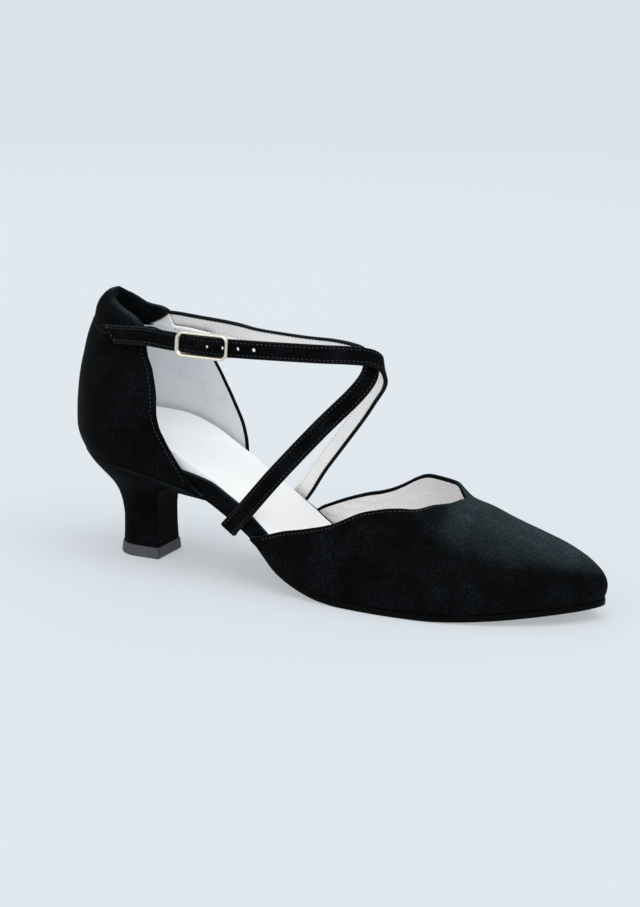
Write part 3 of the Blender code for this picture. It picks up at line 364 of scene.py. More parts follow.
@dataclass
class Last:
    """The shoe's last and the surfaces that are drawn over it."""

    length: float = 0.244
    ball_width: float = 0.0755
    heel_height: float = 0.049
    toe_spring: float = 0.0062
    instep_height: float = 0.0442
    ridge_offset: float = 0.006
    toe_offset: float = 0.003
    seat_back: float = 0.0025
    gap: float = 0.0003
    outsole_thickness: float = 0.003
    waist_inset: float = 0.0065
    board_thickness: float = 0.0075
    sock_inset: float = 0.0012
    wall: float = 0.0018
    toe_bulge: float = 0.003
    throat: float = 0.181
    toe_pole: float = 0.221
    outer_wing: float = 0.097
    inner_wing: float = 0.102
    quarter_height: float = 0.0553
    heel_bulge: float = 0.0036
    bulge_loss: float = 0.75
    bulge_end: float = 0.7
    quarter_reach: float = 0.08
    collar_back: float = 0.0068
    collar_width: float = 0.0395
    collar_reach: float = 0.06
    strap_height: float = 0.1
    strap_lean: float = 0.4
    slope_step: float = 0.00122

    def __post_init__(self) -> None:
        """Make the curves that the surfaces read."""
        self.underside_heel, self.underside_toe = curves_of(UNDERSIDE)
        self.sole_share, self.board_share, self.waist_share, *self.bed_shares = curves_of(LAYERS)
        self.ridge_share = curve_through(RIDGE, 1)
        self.rib_shares = curves_of(RIB_SHAPE)
        self.rim_share, self.bulge_share = curves_of(QUARTER_SHAPE)
        self.front_shares = dict(zip((-1, 1), curves_of(QUARTER_FRONT)))
        self.top_shares = dict(zip((-1, 1), curves_of(QUARTER_TOP)))
        self.topline_paths = {-1: smooth_path(OUTER_TOPLINE, 12), 1: smooth_path(INNER_TOPLINE, 12)}
        self.loop = self._outline()
        self.plan = PlanSides(self.loop)
        inset = self.waist_inset * self.waist_share(self.loop[:, 0] / self.length)
        self.sole_loop = inset_loop(self.loop, inset)
        self.board_loop = inset_loop(self.loop, self.wall + self.gap)
        self.girths = {side: self._girth_curves(side) for side in (-1, 1)}

    def _outline(self) -> np.ndarray:
        """Dense closed plan outline of the upper's edge on the sole."""
        sides = []
        for side, column in ((-1, 1), (1, 2)):
            points = [(self.seat_back, 0.0)]
            points += [(r[0] * self.length, side * r[column] * self.ball_width) for r in OUTLINE]
            points.append((self.length, self.toe_offset))
            sides.append(points)
        loop = sides[0] + sides[1][-2:0:-1]
        steps = 12
        path = smooth_path(loop[-3:] + loop + loop[:3], steps)
        return path[3 * steps : (3 + len(loop)) * steps]

    def underside(self, x: np.ndarray) -> np.ndarray:
        """Height of the sole's lower face."""
        share = x / self.length
        arch = self.heel_height * self.underside_heel(share)
        return arch + self.toe_spring * self.underside_toe(share)

    def lean(self, x: np.ndarray) -> np.ndarray:
        """Ratio of a layer's upright thickness to its real one, where the sole slopes."""
        step = self.slope_step
        rise = (self.underside(x + step) - self.underside(x - step)) / (2 * step)
        return np.sqrt(1 + rise * rise)

    def outsole_top(self, x: np.ndarray) -> np.ndarray:
        """Height of the outsole's upper face."""
        share = self.sole_share(x / self.length)
        return self.underside(x) + self.outsole_thickness * share * self.lean(x)

    def feather(self, x: np.ndarray) -> np.ndarray:
        """Height at which the upper and the board start."""
        return self.outsole_top(x) + self.gap

    def board_top(self, x: np.ndarray) -> np.ndarray:
        """Height of the board's upper face."""
        share = self.board_share(x / self.length)
        return self.feather(x) + self.board_thickness * share * self.lean(x)

    def ridge(self, x: float) -> np.ndarray:
        """Point of the vamp's ridge line."""
        height = self.instep_height * float(self.ridge_share(x / self.length))
        return np.array([x, self.ridge_offset, height])

    def rib(
        self, foot: np.ndarray, outward: np.ndarray, ridge: np.ndarray, shares: np.ndarray
    ) -> np.ndarray:
        """Points up a vamp rib.

        Args:
            foot: The rib's start on the sole.
            outward: Plan direction out of the sole's edge.
            ridge: The rib's end on the ridge line.
            shares: Shares of the way up.

        Returns:
            One point for each share.
        """
        along = foot[0] / self.length
        upright, bulge, crown = (float(curve(along)) for curve in self.rib_shares)
        flat = ridge[:2] - foot[:2]
        span = np.linalg.norm(flat)
        away = -flat / span
        step = 2 * self.slope_step
        slope = (self.ridge(ridge[0] + step)[2] - self.ridge(ridge[0] - step)[2]) / (2 * step)
        swell = self.toe_bulge * bulge * outward
        p1 = foot + np.array([*swell, (ridge[2] - foot[2]) * upright])
        p2 = ridge + span * crown * np.array([away[0], away[1], slope * max(away[0], 0.0)])
        t = np.asarray(shares)[:, None]
        return (1 - t) ** 3 * foot + 3 * t * (1 - t) ** 2 * p1 + 3 * t * t * (1 - t) * p2 + t**3 * ridge

    def straight_rib(self, x: float, side: int, shares: np.ndarray) -> np.ndarray:
        """Points up the rib that stands across the shoe at a distance along it."""
        foot = np.array([x, float(self.plan.at(x, side)), float(self.feather(x))])
        step = self.slope_step
        turn = (self.plan.at(x + step, side) - self.plan.at(x - step, side)) / (2 * step)
        return self.rib(foot, unit(np.array([-turn * side, side])), self.ridge(x), shares)

    def wing(self, side: int) -> float:
        """Distance along the shoe at which the vamp's wing starts."""
        return self.outer_wing if side < 0 else self.inner_wing

    def topline(self, x: float, side: int) -> float:
        """Share of a rib that the vamp keeps."""
        along = (x - self.wing(side)) / (self.throat - self.wing(side))
        path = self.topline_paths[side]
        return float(np.interp(along, path[:, 0], path[:, 1]))

    def _girth_curves(self, side: int, count: int = 80) -> tuple[np.ndarray, np.ndarray]:
        """The quarter's lower and upper plan curves of one side."""
        turns = np.linspace(0, math.pi / 2, 120)
        reach = self.plan.back + (self.quarter_reach - self.plan.back) * (1 - np.cos(turns))
        low = respace(np.stack([reach, self.plan.at(reach, side)], axis=1), count)
        rim = [(self.collar_back, 0.0)]
        for along, half in COLLAR_OUTLINE:
            x = self.collar_back + along * (self.collar_reach - self.collar_back)
            rim.append((x, side * half * self.collar_width))
        mirrored = (rim[1][0], -rim[1][1])
        high = respace(smooth_path([mirrored] + rim, 10)[10:], count)
        return low, high

    def quarter_point(self, girth: float, height: float) -> tuple[np.ndarray, np.ndarray]:
        """Point on the quarter's outer face.

        Args:
            girth: Share of the girth, negative on the outer side.
            height: Share of the quarter's height.

        Returns:
            The point, and the plan direction out of it.
        """
        side = side_of(girth)
        low, high = self.girths[side]
        places = np.linspace(0, 1, len(low))
        share = float(self.rim_share(height))

        def plan(at: float) -> tuple[np.ndarray, np.ndarray]:
            """Plan points at the sole and at the asked height."""
            bottom, top = read_path(low, places, at), read_path(high, places, at)
            return bottom, bottom + (top - bottom) * share

        at = abs(girth)
        bottom, here = plan(at)
        step = 0.02
        if at < step:
            ahead = np.array([0.0, float(side)])
        else:
            ahead = unit(plan(min(at + step, 1.0))[1] - plan(at - step)[1])
        outward = np.array([-abs(ahead[1]), side * ahead[0]])
        bulge = self.heel_bulge * float(self.bulge_share(height))
        bulge *= 1 - self.bulge_loss * min(at / self.bulge_end, 1.0)
        here = here + outward * bulge
        floor = float(self.feather(bottom[0]))
        rim = float(self.feather(0.0)) + self.quarter_height * float(self.top_shares[side](at))
        return np.array([here[0], here[1], floor + (rim - floor) * height]), outward

    def quarter_front(self, girth_turn: float, height: float) -> float:
        """Girth of the quarter's front edge at a height, scaled by a turn from -1 to 1."""
        return girth_turn * float(self.front_shares[side_of(girth_turn)](height))

    def beside_rim(self, girth: float, height: float, lift: float) -> np.ndarray:
        """A strap's route point beside the quarter's rim, with the way that its face looks."""
        rim, outward = self.quarter_point(girth, 1.0)
        face = unit(np.array([outward[0], outward[1], self.strap_lean]))
        climb = unit(np.array([*(-outward * self.strap_lean), 1.0]))
        return np.concatenate([rim + climb * (height - rim[2]) + face * lift, face])

    def route_rows(self, table: Sequence[tuple]) -> list[np.ndarray]:
        """Turn a route table into points with their face directions."""
        rows = []
        for along, across, height, face in table:
            place = (along * self.length, across * self.ball_width, height * self.strap_height)
            rows.append(np.concatenate([place, unit(np.array(face))]))
        return rows


Colour = tuple[float, float, float]
Value = "float | Colour | Link"


class Link:
    """A node's output, with arithmetic that adds Math nodes."""

    def __init__(self, board: "Board", socket: bpy.types.NodeSocket) -> None:
        """Wrap an output socket of a material's node tree."""
        self.board = board
        self.socket = socket

    def _math(self, operation: str, first: Value, second: Value, clamp: bool = False) -> "Link":
        """Add one Math node."""
        inputs = {0: first, 1: second}
        return self.board.add("ShaderNodeMath", inputs, operation=operation, use_clamp=clamp)

    def __add__(self, other: Value) -> "Link":
        """Sum."""
        return self._math("ADD", self, other)

    def __sub__(self, other: Value) -> "Link":
        """Difference."""
        return self._math("SUBTRACT", self, other)

    def __rsub__(self, other: Value) -> "Link":
        """Difference from a number."""
        return self._math("SUBTRACT", other, self)

    def __mul__(self, other: Value) -> "Link":
        """Product."""
        return self._math("MULTIPLY", self, other)

    __radd__ = __add__
    __rmul__ = __mul__

    def clamp(self) -> "Link":
        """Limit to the range from 0 to 1."""
        return self._math("ADD", self, 0.0, clamp=True)

    def step(self, low: float, high: float) -> "Link":
        """Rise smoothly from 0 at low to 1 at high."""
        inputs = {0: self, 1: low, 2: high}
        return self.board.add("ShaderNodeMapRange", inputs, interpolation_type="SMOOTHSTEP")


class Board:
    """A material's node tree with its Principled shader."""

    def __init__(self, name: str) -> None:
        """Start a material."""
        self.material = bpy.data.materials.new(name)
        self.material.use_nodes = True
        self.tree = self.material.node_tree
        self.shader = self.tree.nodes["Principled BSDF"]

    def add(
        self, kind: str, inputs: dict | None = None, output: int | str = 0, **settings: str | bool
    ) -> Link:
        """Add one node.

        Args:
            kind: The node's type.
            inputs: Values or links of its sockets, by name or number.
            output: The output that is returned.
            **settings: The node's properties.

        Returns:
            The node's output as a link.
        """
        node = self.tree.nodes.new(kind)
        for key, value in settings.items():
            setattr(node, key, value)
        for key, value in (inputs or {}).items():
            self.feed(node.inputs[key], value)
        return Link(self, node.outputs[output])

    def feed(self, socket: bpy.types.NodeSocket, value: Value) -> None:
        """Give a socket a link or a constant."""
        if isinstance(value, Link):
            self.tree.links.new(value.socket, socket)
        elif isinstance(value, tuple) and len(value) == 3 and len(socket.default_value) == 4:
            socket.default_value = (*value, 1.0)
        else:
            socket.default_value = value

    def place(self, scale: tuple[float, float, float] = (1.0, 1.0, 1.0)) -> Link:
        """Object coordinates, stretched along each axis."""
        where = self.add("ShaderNodeTexCoord", output="Object")
        return self.add("ShaderNodeMapping", {"Vector": where, "Scale": scale}, vector_type="POINT")

    def part(self, vector: Link, axis: str) -> Link:
        """One axis of a vector."""
        return self.add("ShaderNodeSeparateXYZ", {0: vector}, output=axis)

    def facing(self, axis: str) -> Link:
        """How far the surface faces along an axis, from -1 to 1."""
        return self.part(self.add("ShaderNodeTexCoord", output="Normal"), axis)

    def noise(
        self, scale: float, detail: float = 3.0, where: Link | None = None, rough: float = 0.55
    ) -> Link:
        """Noise between 0 and 1, at a scale in waves per metre."""
        where = where or self.place()
        inputs = {"Vector": where, "Scale": scale, "Detail": detail, "Roughness": rough}
        return self.add("ShaderNodeTexNoise", inputs)

    def mix(self, share: Value, low: Value, high: Value) -> Link:
        """Blend two colours."""
        inputs = {"Factor": share, 6: low, 7: high}
        return self.add("ShaderNodeMix", inputs, output=2, data_type="RGBA")

    def bump(
        self, height: Link, strength: float, distance: float, below: Link | None = None
    ) -> Link:
        """Relief from a height between 0 and 1."""
        inputs = {"Height": height, "Strength": strength, "Distance": distance}
        if below is not None:
            inputs["Normal"] = below
        return self.add("ShaderNodeBump", inputs)

    def finish(self, **inputs: Value) -> bpy.types.Material:
        """Feed the shader by socket name, with underscores for spaces, and return the material."""
        for key, value in inputs.items():
            self.feed(self.shader.inputs[key.replace("_", " ")], value)
        return self.material


@dataclass(frozen=True)
class SuedeFinish:
    """Brushed suede: a near-black nap with soft lighter patches and a fine grain, and a painted highlight
    where its faces look up.
    """

    name: str = "black suede"
    deep: Colour = (0.0006, 0.0007, 0.0009)
    nap: Colour = (0.0100, 0.0125, 0.0155)
    # Colour of the painted highlight on the faces that look up
    crest_highlight: Colour = (0.042, 0.066, 0.076)
    warm: Colour = (0.0052, 0.0043, 0.0034)
    grain: float = 2300.0
    sheen: float = 0.045

    def build(self) -> bpy.types.Material:
        """Make the material."""
        board = Board(self.name)
        patches = board.noise(62.0, 4.0)
        streaks = board.noise(150.0, 3.0, board.place((0.5, 1.0, 0.7)))
        grain = board.noise(self.grain, 2.0, rough=0.7)
        speck = board.noise(self.grain * 0.52, 2.0, rough=0.6)
        up, inward = board.facing("Z"), board.facing("Y")
        raised = (patches.step(0.42, 0.64) * 0.7 + streaks.step(0.42, 0.64) * 0.3).clamp()
        fleck = speck.step(0.46, 0.62)
        cloud = raised * (fleck * 0.75 + 0.25)
        nap = board.mix((cloud * 0.72 + fleck * 0.10).clamp(), self.deep, self.nap)
        # Painted highlight: lighter where the faces look up, and a little inward, broken by the nap's
        # patches and flecks
        crest = (up * 0.99 + inward * 0.10).step(0.56, 1.0)
        highlight_share = crest * (raised * 0.35 + 0.65) * (fleck * 0.5 + 0.5)
        lit = board.mix(highlight_share * 0.94, nap, self.crest_highlight)
        rear = (1 - board.part(board.place(), "X").step(-0.030, 0.000)) * 0.30
        colour = board.mix(rear, lit, self.warm)
        colour = board.mix(grain.step(0.50, 0.72) * 0.55, colour, self.deep)
        relief = board.bump(grain * 0.6 + speck * 0.4, 0.75, 0.00024)
        relief = board.bump(streaks, 0.20, 0.0004, relief)
        return board.finish(
            Base_Color=colour,
            Roughness=0.86 + 0.12 * raised,
            Normal=relief,
            Sheen_Weight=self.sheen,
            Sheen_Roughness=0.34,
            Sheen_Tint=(0.62, 0.76, 0.78),
            Specular_IOR_Level=0.05,
        )


@dataclass(frozen=True)
class LeatherFinish:
    """Smooth lining leather with fine pores and, where it is asked for, soft wrinkles. Its colour has
    painted shade in the troughs of the wrinkle pattern and, where asked for, painted shade lines along the
    wrinkles.
    """

    name: str
    light: Colour
    shade: Colour
    roughness: float = 0.48
    pores: float = 1900.0
    wrinkles: float = 0.15
    wrinkle_scale: float = 150.0
    stretch: tuple[float, float, float] = (1.0, 1.0, 1.0)
    # Strength and colour of the painted shade lines along the wrinkles
    crease_shade: float = 0.0
    crease_shade_colour: Colour = (0.45, 0.43, 0.42)

    def build(self) -> bpy.types.Material:
        """Make the material."""
        board = Board(self.name)
        tone = board.noise(26.0, 4.0)
        mottle = board.noise(320.0, 3.0)
        inputs = {"Vector": board.place(), "Scale": self.pores}
        pores = board.add("ShaderNodeTexVoronoi", inputs, feature="F1")
        folds = board.noise(self.wrinkle_scale, 3.0, board.place(self.stretch), 0.5)
        colour = board.mix(tone.step(0.35, 0.70), self.light, self.shade)
        # Painted shade: darker in the troughs of the wrinkles
        fold_shaded = board.mix(folds.step(0.30, 0.46), self.shade, colour)
        colour = board.mix(mottle.step(0.45, 0.80) * 0.30, fold_shaded, self.shade)
        # Painted shade: thin dark lines along the wrinkles
        away = folds - 0.5
        line = (1 - away * away * 1100.0).clamp() * tone.step(0.40, 0.60) * self.crease_shade
        colour = board.mix(line, colour, self.crease_shade_colour)
        relief = board.bump(pores, 0.18, 0.00008)
        relief = board.bump(folds, self.wrinkles, 0.0009, relief)
        return board.finish(
            Base_Color=colour,
            Roughness=self.roughness + mottle * 0.12,
            Normal=relief,
            Specular_IOR_Level=0.45,
        )


@dataclass(frozen=True)
class SoleFinish:
    """Sole leather: a dark painted edge above, and a rough brushed tread below."""

    name: str = "sole suede"
    edge: Colour = (0.0010, 0.0010, 0.0012)
    tread: Colour = (0.070, 0.062, 0.056)
    rubbed: Colour = (0.115, 0.103, 0.094)

    def build(self) -> bpy.types.Material:
        """Make the material."""
        board = Board(self.name)
        below = 1 - board.facing("Z").step(-0.99, -0.93)
        wear = board.noise(55.0, 5.0)
        fibre = board.noise(900.0, 3.0, board.place((0.35, 1.0, 1.0)))
        tread = board.mix(wear.step(0.42, 0.70), self.tread, self.rubbed)
        tread = board.mix(fibre.step(0.40, 0.75) * 0.5, tread, self.edge)
        colour = board.mix(below, self.edge, tread)
        relief = board.bump(fibre, 0.45, 0.00022)
        return board.finish(
            Base_Color=colour,
            Roughness=0.60 + below * 0.32,
            Normal=relief,
            Specular_IOR_Level=0.06,
        )


@dataclass(frozen=True)
class RubberFinish:
    """Moulded grey rubber, scuffed a little at its foot."""

    name: str = "grey rubber"
    body: Colour = (0.062, 0.063, 0.066)
    pale: Colour = (0.108, 0.109, 0.113)

    def build(self) -> bpy.types.Material:
        """Make the material."""
        board = Board(self.name)
        cloud = board.noise(260.0, 4.0)
        grit = board.noise(2400.0, 2.0)
        foot = 1 - board.part(board.place(), "Z").step(0.0004, 0.0022)
        scuff = foot * cloud.step(0.45, 0.62)
        colour = board.mix(cloud.step(0.35, 0.70) * 0.35 + scuff * 0.5, self.body, self.pale)
        relief = board.bump(grit, 0.22, 0.00008)
        return board.finish(Base_Color=colour, Roughness=0.60 + cloud * 0.15, Normal=relief)


@dataclass(frozen=True)
class MetalFinish:
    """Pale gold plating with a soft brushed polish."""

    name: str = "pale gold metal"
    plate: Colour = (0.86, 0.80, 0.68)
    deep: Colour = (0.66, 0.57, 0.42)

    def build(self) -> bpy.types.Material:
        """Make the material."""
        board = Board(self.name)
        haze = board.noise(380.0, 4.0)
        lines = board.noise(1500.0, 2.0, board.place((0.2, 1.0, 3.0)))
        colour = board.mix(haze.step(0.35, 0.80) * 0.5, self.plate, self.deep)
        relief = board.bump(lines, 0.03, 0.00001)
        return board.finish(
            Base_Color=colour, Metallic=1.0, Roughness=0.16 + haze * 0.12, Normal=relief
        )


@dataclass(frozen=True)
class ThreadFinish:
    """Twisted sewing thread."""

    name: str
    colour: Colour
    glint: Colour
    sheen: float = 0.1

    def build(self) -> bpy.types.Material:
        """Make the material."""
        board = Board(self.name)
        twist = board.noise(2600.0, 1.0)
        colour = board.mix(twist.step(0.40, 0.70), self.colour, self.glint)
        return board.finish(
            Base_Color=colour,
            Roughness=0.50 + twist * 0.2,
            Sheen_Weight=self.sheen,
            Sheen_Roughness=0.4,
        )


@dataclass(frozen=True)
class FloorFinish:
    """Plain pale studio floor, lit a little from below."""

    name: str = "studio floor"
    paper: Colour = (0.345, 0.370, 0.392)
    cool: Colour = (0.330, 0.358, 0.384)
    glow: Colour = (0.915, 0.965, 1.0)
    strength: float = 0.41

    def build(self) -> bpy.types.Material:
        """Make the material."""
        board = Board(self.name)
        cloud = board.noise(1.5, 2.0)
        colour = board.mix(cloud, self.paper, self.cool)
        return board.finish(
            Base_Color=colour,
            Roughness=0.9,
            Specular_IOR_Level=0.05,
            Emission_Color=self.glow,
            Emission_Strength=self.strength,
        )


class Finish(Enum):
    """The shoe's finishes, each with the record's slot that it belongs to."""

    SUEDE = ("black_suede", "face")
    EDGE = ("black_suede", "cut edge")
    THREAD = ("black_suede", "thread")
    SOCK = ("white_leather", "sock")
    VAMP_LINING = ("white_leather", "vamp")
    QUARTER_LINING = ("white_leather", "quarter")
    STRAP_LINING = ("white_leather", "straps")
    PINHOLE = ("white_leather", "thread")
    SOLE = ("sole_suede", "sole")
    RUBBER = ("grey_rubber", "top piece")
    METAL = ("pale_gold", "buckle")
    FLOOR = ("floor", "studio")

    @property
    def slot(self) -> str:
        """The record's material slot."""
        return self.value[0]


Looks = dict[Finish, bpy.types.Material]


def make_finishes() -> Looks:
    """Make every material once."""
    recipes = {
        Finish.SUEDE: SuedeFinish(),
        # Lighter cut edges: partly the raw cut edge's own colour, partly a painted highlight along the
        # edge
        Finish.EDGE: SuedeFinish(
            "suede edge with painted highlight", deep=(0.006, 0.006, 0.0066), nap=(0.026, 0.028, 0.030), sheen=0.06
        ),
        Finish.SOCK: LeatherFinish(
            "white sock leather", (0.955, 0.955, 0.95), (0.92, 0.92, 0.92), wrinkles=0.06
        ),
        Finish.VAMP_LINING: LeatherFinish(
            "vamp lining leather",
            (0.98, 0.965, 0.96),
            (0.92, 0.89, 0.885),
            wrinkles=0.85,
            wrinkle_scale=330.0,
            crease_shade=0.20,
            stretch=(0.45, 1.0, 1.5),
        ),
        Finish.QUARTER_LINING: LeatherFinish(
            "quarter lining leather", (0.80, 0.82, 0.845), (0.75, 0.77, 0.80), wrinkles=0.10
        ),
        Finish.STRAP_LINING: LeatherFinish(
            "strap lining leather", (0.96, 0.945, 0.93), (0.91, 0.89, 0.875), wrinkles=0.10
        ),
        Finish.SOLE: SoleFinish(),
        Finish.RUBBER: RubberFinish(),
        Finish.METAL: MetalFinish(),
        Finish.THREAD: ThreadFinish("black thread", (0.009, 0.010, 0.011), (0.052, 0.056, 0.061)),
        Finish.PINHOLE: ThreadFinish("lining thread", (0.16, 0.15, 0.15), (0.30, 0.29, 0.28)),
        Finish.FLOOR: FloorFinish(),
    }
    return {finish: recipe.build() for finish, recipe in recipes.items()}


@dataclass
class Skin:
    """A mesh in the making."""

    points: list[np.ndarray] = field(default_factory=list)
    faces: list[tuple[int, ...]] = field(default_factory=list)
    slots: list[int] = field(default_factory=list)
    count: int = 0

    def grid(
        self,
        rows: Sequence[np.ndarray],
        slots: int | Sequence[int] = 0,
        closed: bool = False,
        capped: bool = False,
    ) -> None:
        """Add rows of points, each joined to the next.

        Args:
            rows: Rows with the same number of points.
            slots: Material slot of the faces, or one for each gap between two columns.
            closed: Whether the last column joins the first.
            capped: Whether the first and last rows are closed with a face.
        """
        width = len(rows[0])
        last = width if closed else width - 1
        picks = [slots] * width if isinstance(slots, int) else list(slots)
        for i in range(len(rows) - 1):
            here = self.count + i * width
            for k in range(last):
                nxt = (k + 1) % width
                self.faces.append((here + k, here + nxt, here + width + nxt, here + width + k))
                self.slots.append(picks[k])
        if capped:
            end = self.count + (len(rows) - 1) * width
            self.faces.append(tuple(range(self.count, self.count + width))[::-1])
            self.faces.append(tuple(range(end, end + width)))
            self.slots += [picks[0], picks[0]]
        self.points += list(rows)
        self.count += len(rows) * width

    def make(
        self,
        name: str,
        materials: Sequence[bpy.types.Material],
        weld: float = 0.0,
        sharp: float = 40.0,
    ) -> bpy.types.Object:
        """Turn the skin into an object.

        Args:
            name: The object's name.
            materials: Its material slots.
            weld: Distance within which points are merged.
            sharp: Angle in degrees over which an edge is shaded sharp.

        Returns:
            The object, with its normals outward.
        """
        mesh = bpy.data.meshes.new(name)
        mesh.from_pydata([tuple(p) for p in np.vstack(self.points) - HEEL_CENTRE], [], self.faces)
        for polygon, slot in zip(mesh.polygons, self.slots):
            polygon.material_index = slot
        for material in materials:
            mesh.materials.append(material)
        with reworked(mesh) as work:
            if weld:
                bmesh.ops.remove_doubles(work, verts=work.verts, dist=weld)
            bmesh.ops.recalc_face_normals(work, faces=work.faces)
            if outwardness(work) < 0:
                bmesh.ops.reverse_faces(work, faces=work.faces)
        piece = add_object(name, mesh)
        shade(piece, sharp)
        return piece


def add_object(name: str, data: bpy.types.ID) -> bpy.types.Object:
    """Put a mesh, a lamp or a camera into the scene."""
    made = bpy.data.objects.new(name, data)
    bpy.context.scene.collection.objects.link(made)
    return made


@contextmanager
def reworked(mesh: bpy.types.Mesh) -> Iterator[bmesh.types.BMesh]:
    """Open a mesh for editing, and write it back at the end."""
    work = bmesh.new()
    work.from_mesh(mesh)
    yield work
    work.to_mesh(mesh)
    work.free()


def outwardness(work: bmesh.types.BMesh) -> float:
    """Sum of how far the faces look away from the mesh's middle; negative when it is inside out."""
    middle = sum((v.co for v in work.verts), Vector()) / len(work.verts)
    return sum(f.calc_area() * f.normal.dot(f.calc_center_median() - middle) for f in work.faces)


def shade(piece: bpy.types.Object, sharp: float = 40.0) -> None:
    """Shade a piece smooth, except at edges over an angle in degrees."""
    piece.data.shade_smooth()
    piece.data.set_sharp_from_angle(angle=math.radians(sharp))


def bake(piece: bpy.types.Object) -> bpy.types.Object:
    """Turn a piece's modifiers into its mesh."""
    graph = bpy.context.evaluated_depsgraph_get()
    mesh = bpy.data.meshes.new_from_object(piece.evaluated_get(graph), depsgraph=graph)
    piece.modifiers.clear()
    piece.data = mesh
    return piece


def thicken(piece: bpy.types.Object, wall: float) -> None:
    """Give an open skin a wall on its inner side, with its lining on the inner face."""
    solid = piece.modifiers.new("wall", "SOLIDIFY")
    solid.thickness = wall
    solid.offset = -1.0
    solid.use_even_offset = True
    solid.material_offset = LINING_SLOT
    solid.material_offset_rim = FACE_SLOT
    bake(piece)


def round_edges(piece: bpy.types.Object, chosen: Callable[[Vector], bool], width: float) -> None:
    """Round off a piece's sharp edges.

    Args:
        piece: The piece.
        chosen: Whether an edge with its middle here, on the last, is rounded.
        width: Width taken off each side of the edge.
    """
    centre = Vector(HEEL_CENTRE)
    with reworked(piece.data) as work:
        edges = [
            e
            for e in work.edges
            if e.is_manifold
            and e.calc_face_angle(0.0) > math.radians(50)
            and chosen((e.verts[0].co + e.verts[1].co) / 2 + centre)
        ]
        settings = {"segments": 3, "profile": 0.5, "affect": "EDGES", "clamp_overlap": False}
        bmesh.ops.bevel(work, geom=edges, offset=width, **settings)
    shade(piece)


def fold_over(piece: bpy.types.Object, width: float) -> None:
    """Carry the outer finish over the wall's edge, onto the first stretch of its lining."""
    with reworked(piece.data) as work:
        seam = [e for e in work.edges if len({f.material_index for f in e.link_faces}) > 1]
        ends = [v.co for e in seam for v in e.verts]
        tree = KDTree(len(ends))
        for i, place in enumerate(ends):
            tree.insert(place, i)
        tree.balance()
        for face in work.faces:
            near = tree.find(face.calc_center_median())[2] < width
            if near and face.material_index == LINING_SLOT:
                face.material_index = FACE_SLOT


def press(piece: bpy.types.Object, depth: Relief) -> None:
    """Move a piece's points along their normals, by a depth that depends on their place on the last."""
    centre = Vector(HEEL_CENTRE)
    moves = [v.normal * depth(v.co + centre) for v in piece.data.vertices]
    for vertex, move in zip(piece.data.vertices, moves):
        vertex.co += move


def nap(place: Vector, size: float, depth: float) -> float:
    """Soft unevenness of hand-lasted leather, within a depth either way."""
    return depth * noise.noise(place / size)


def declare(piece: bpy.types.Object, finish: Finish, *nodes: str) -> bpy.types.Object:
    """Let a piece ride on the shoe and stand for CAD nodes."""
    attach(piece, "root")
    finish.slot
    if nodes:
        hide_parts(*nodes)
    LOG.info("%s: %d faces", piece.name, len(piece.data.polygons))
    return piece


def corner(radius: float, first: float, last: float, steps: int) -> list[tuple[float, float]]:
    """Points of an arc about the origin, with its first and last angle in degrees."""
    turns = np.radians(np.linspace(first, last, steps))
    return [(radius * math.cos(t), radius * math.sin(t)) for t in turns]


def circle(radius: float, steps: int) -> list[tuple[float, float]]:
    """Points of a whole circle about the origin."""
    return corner(radius, 0, 360 - 360 / steps, steps)


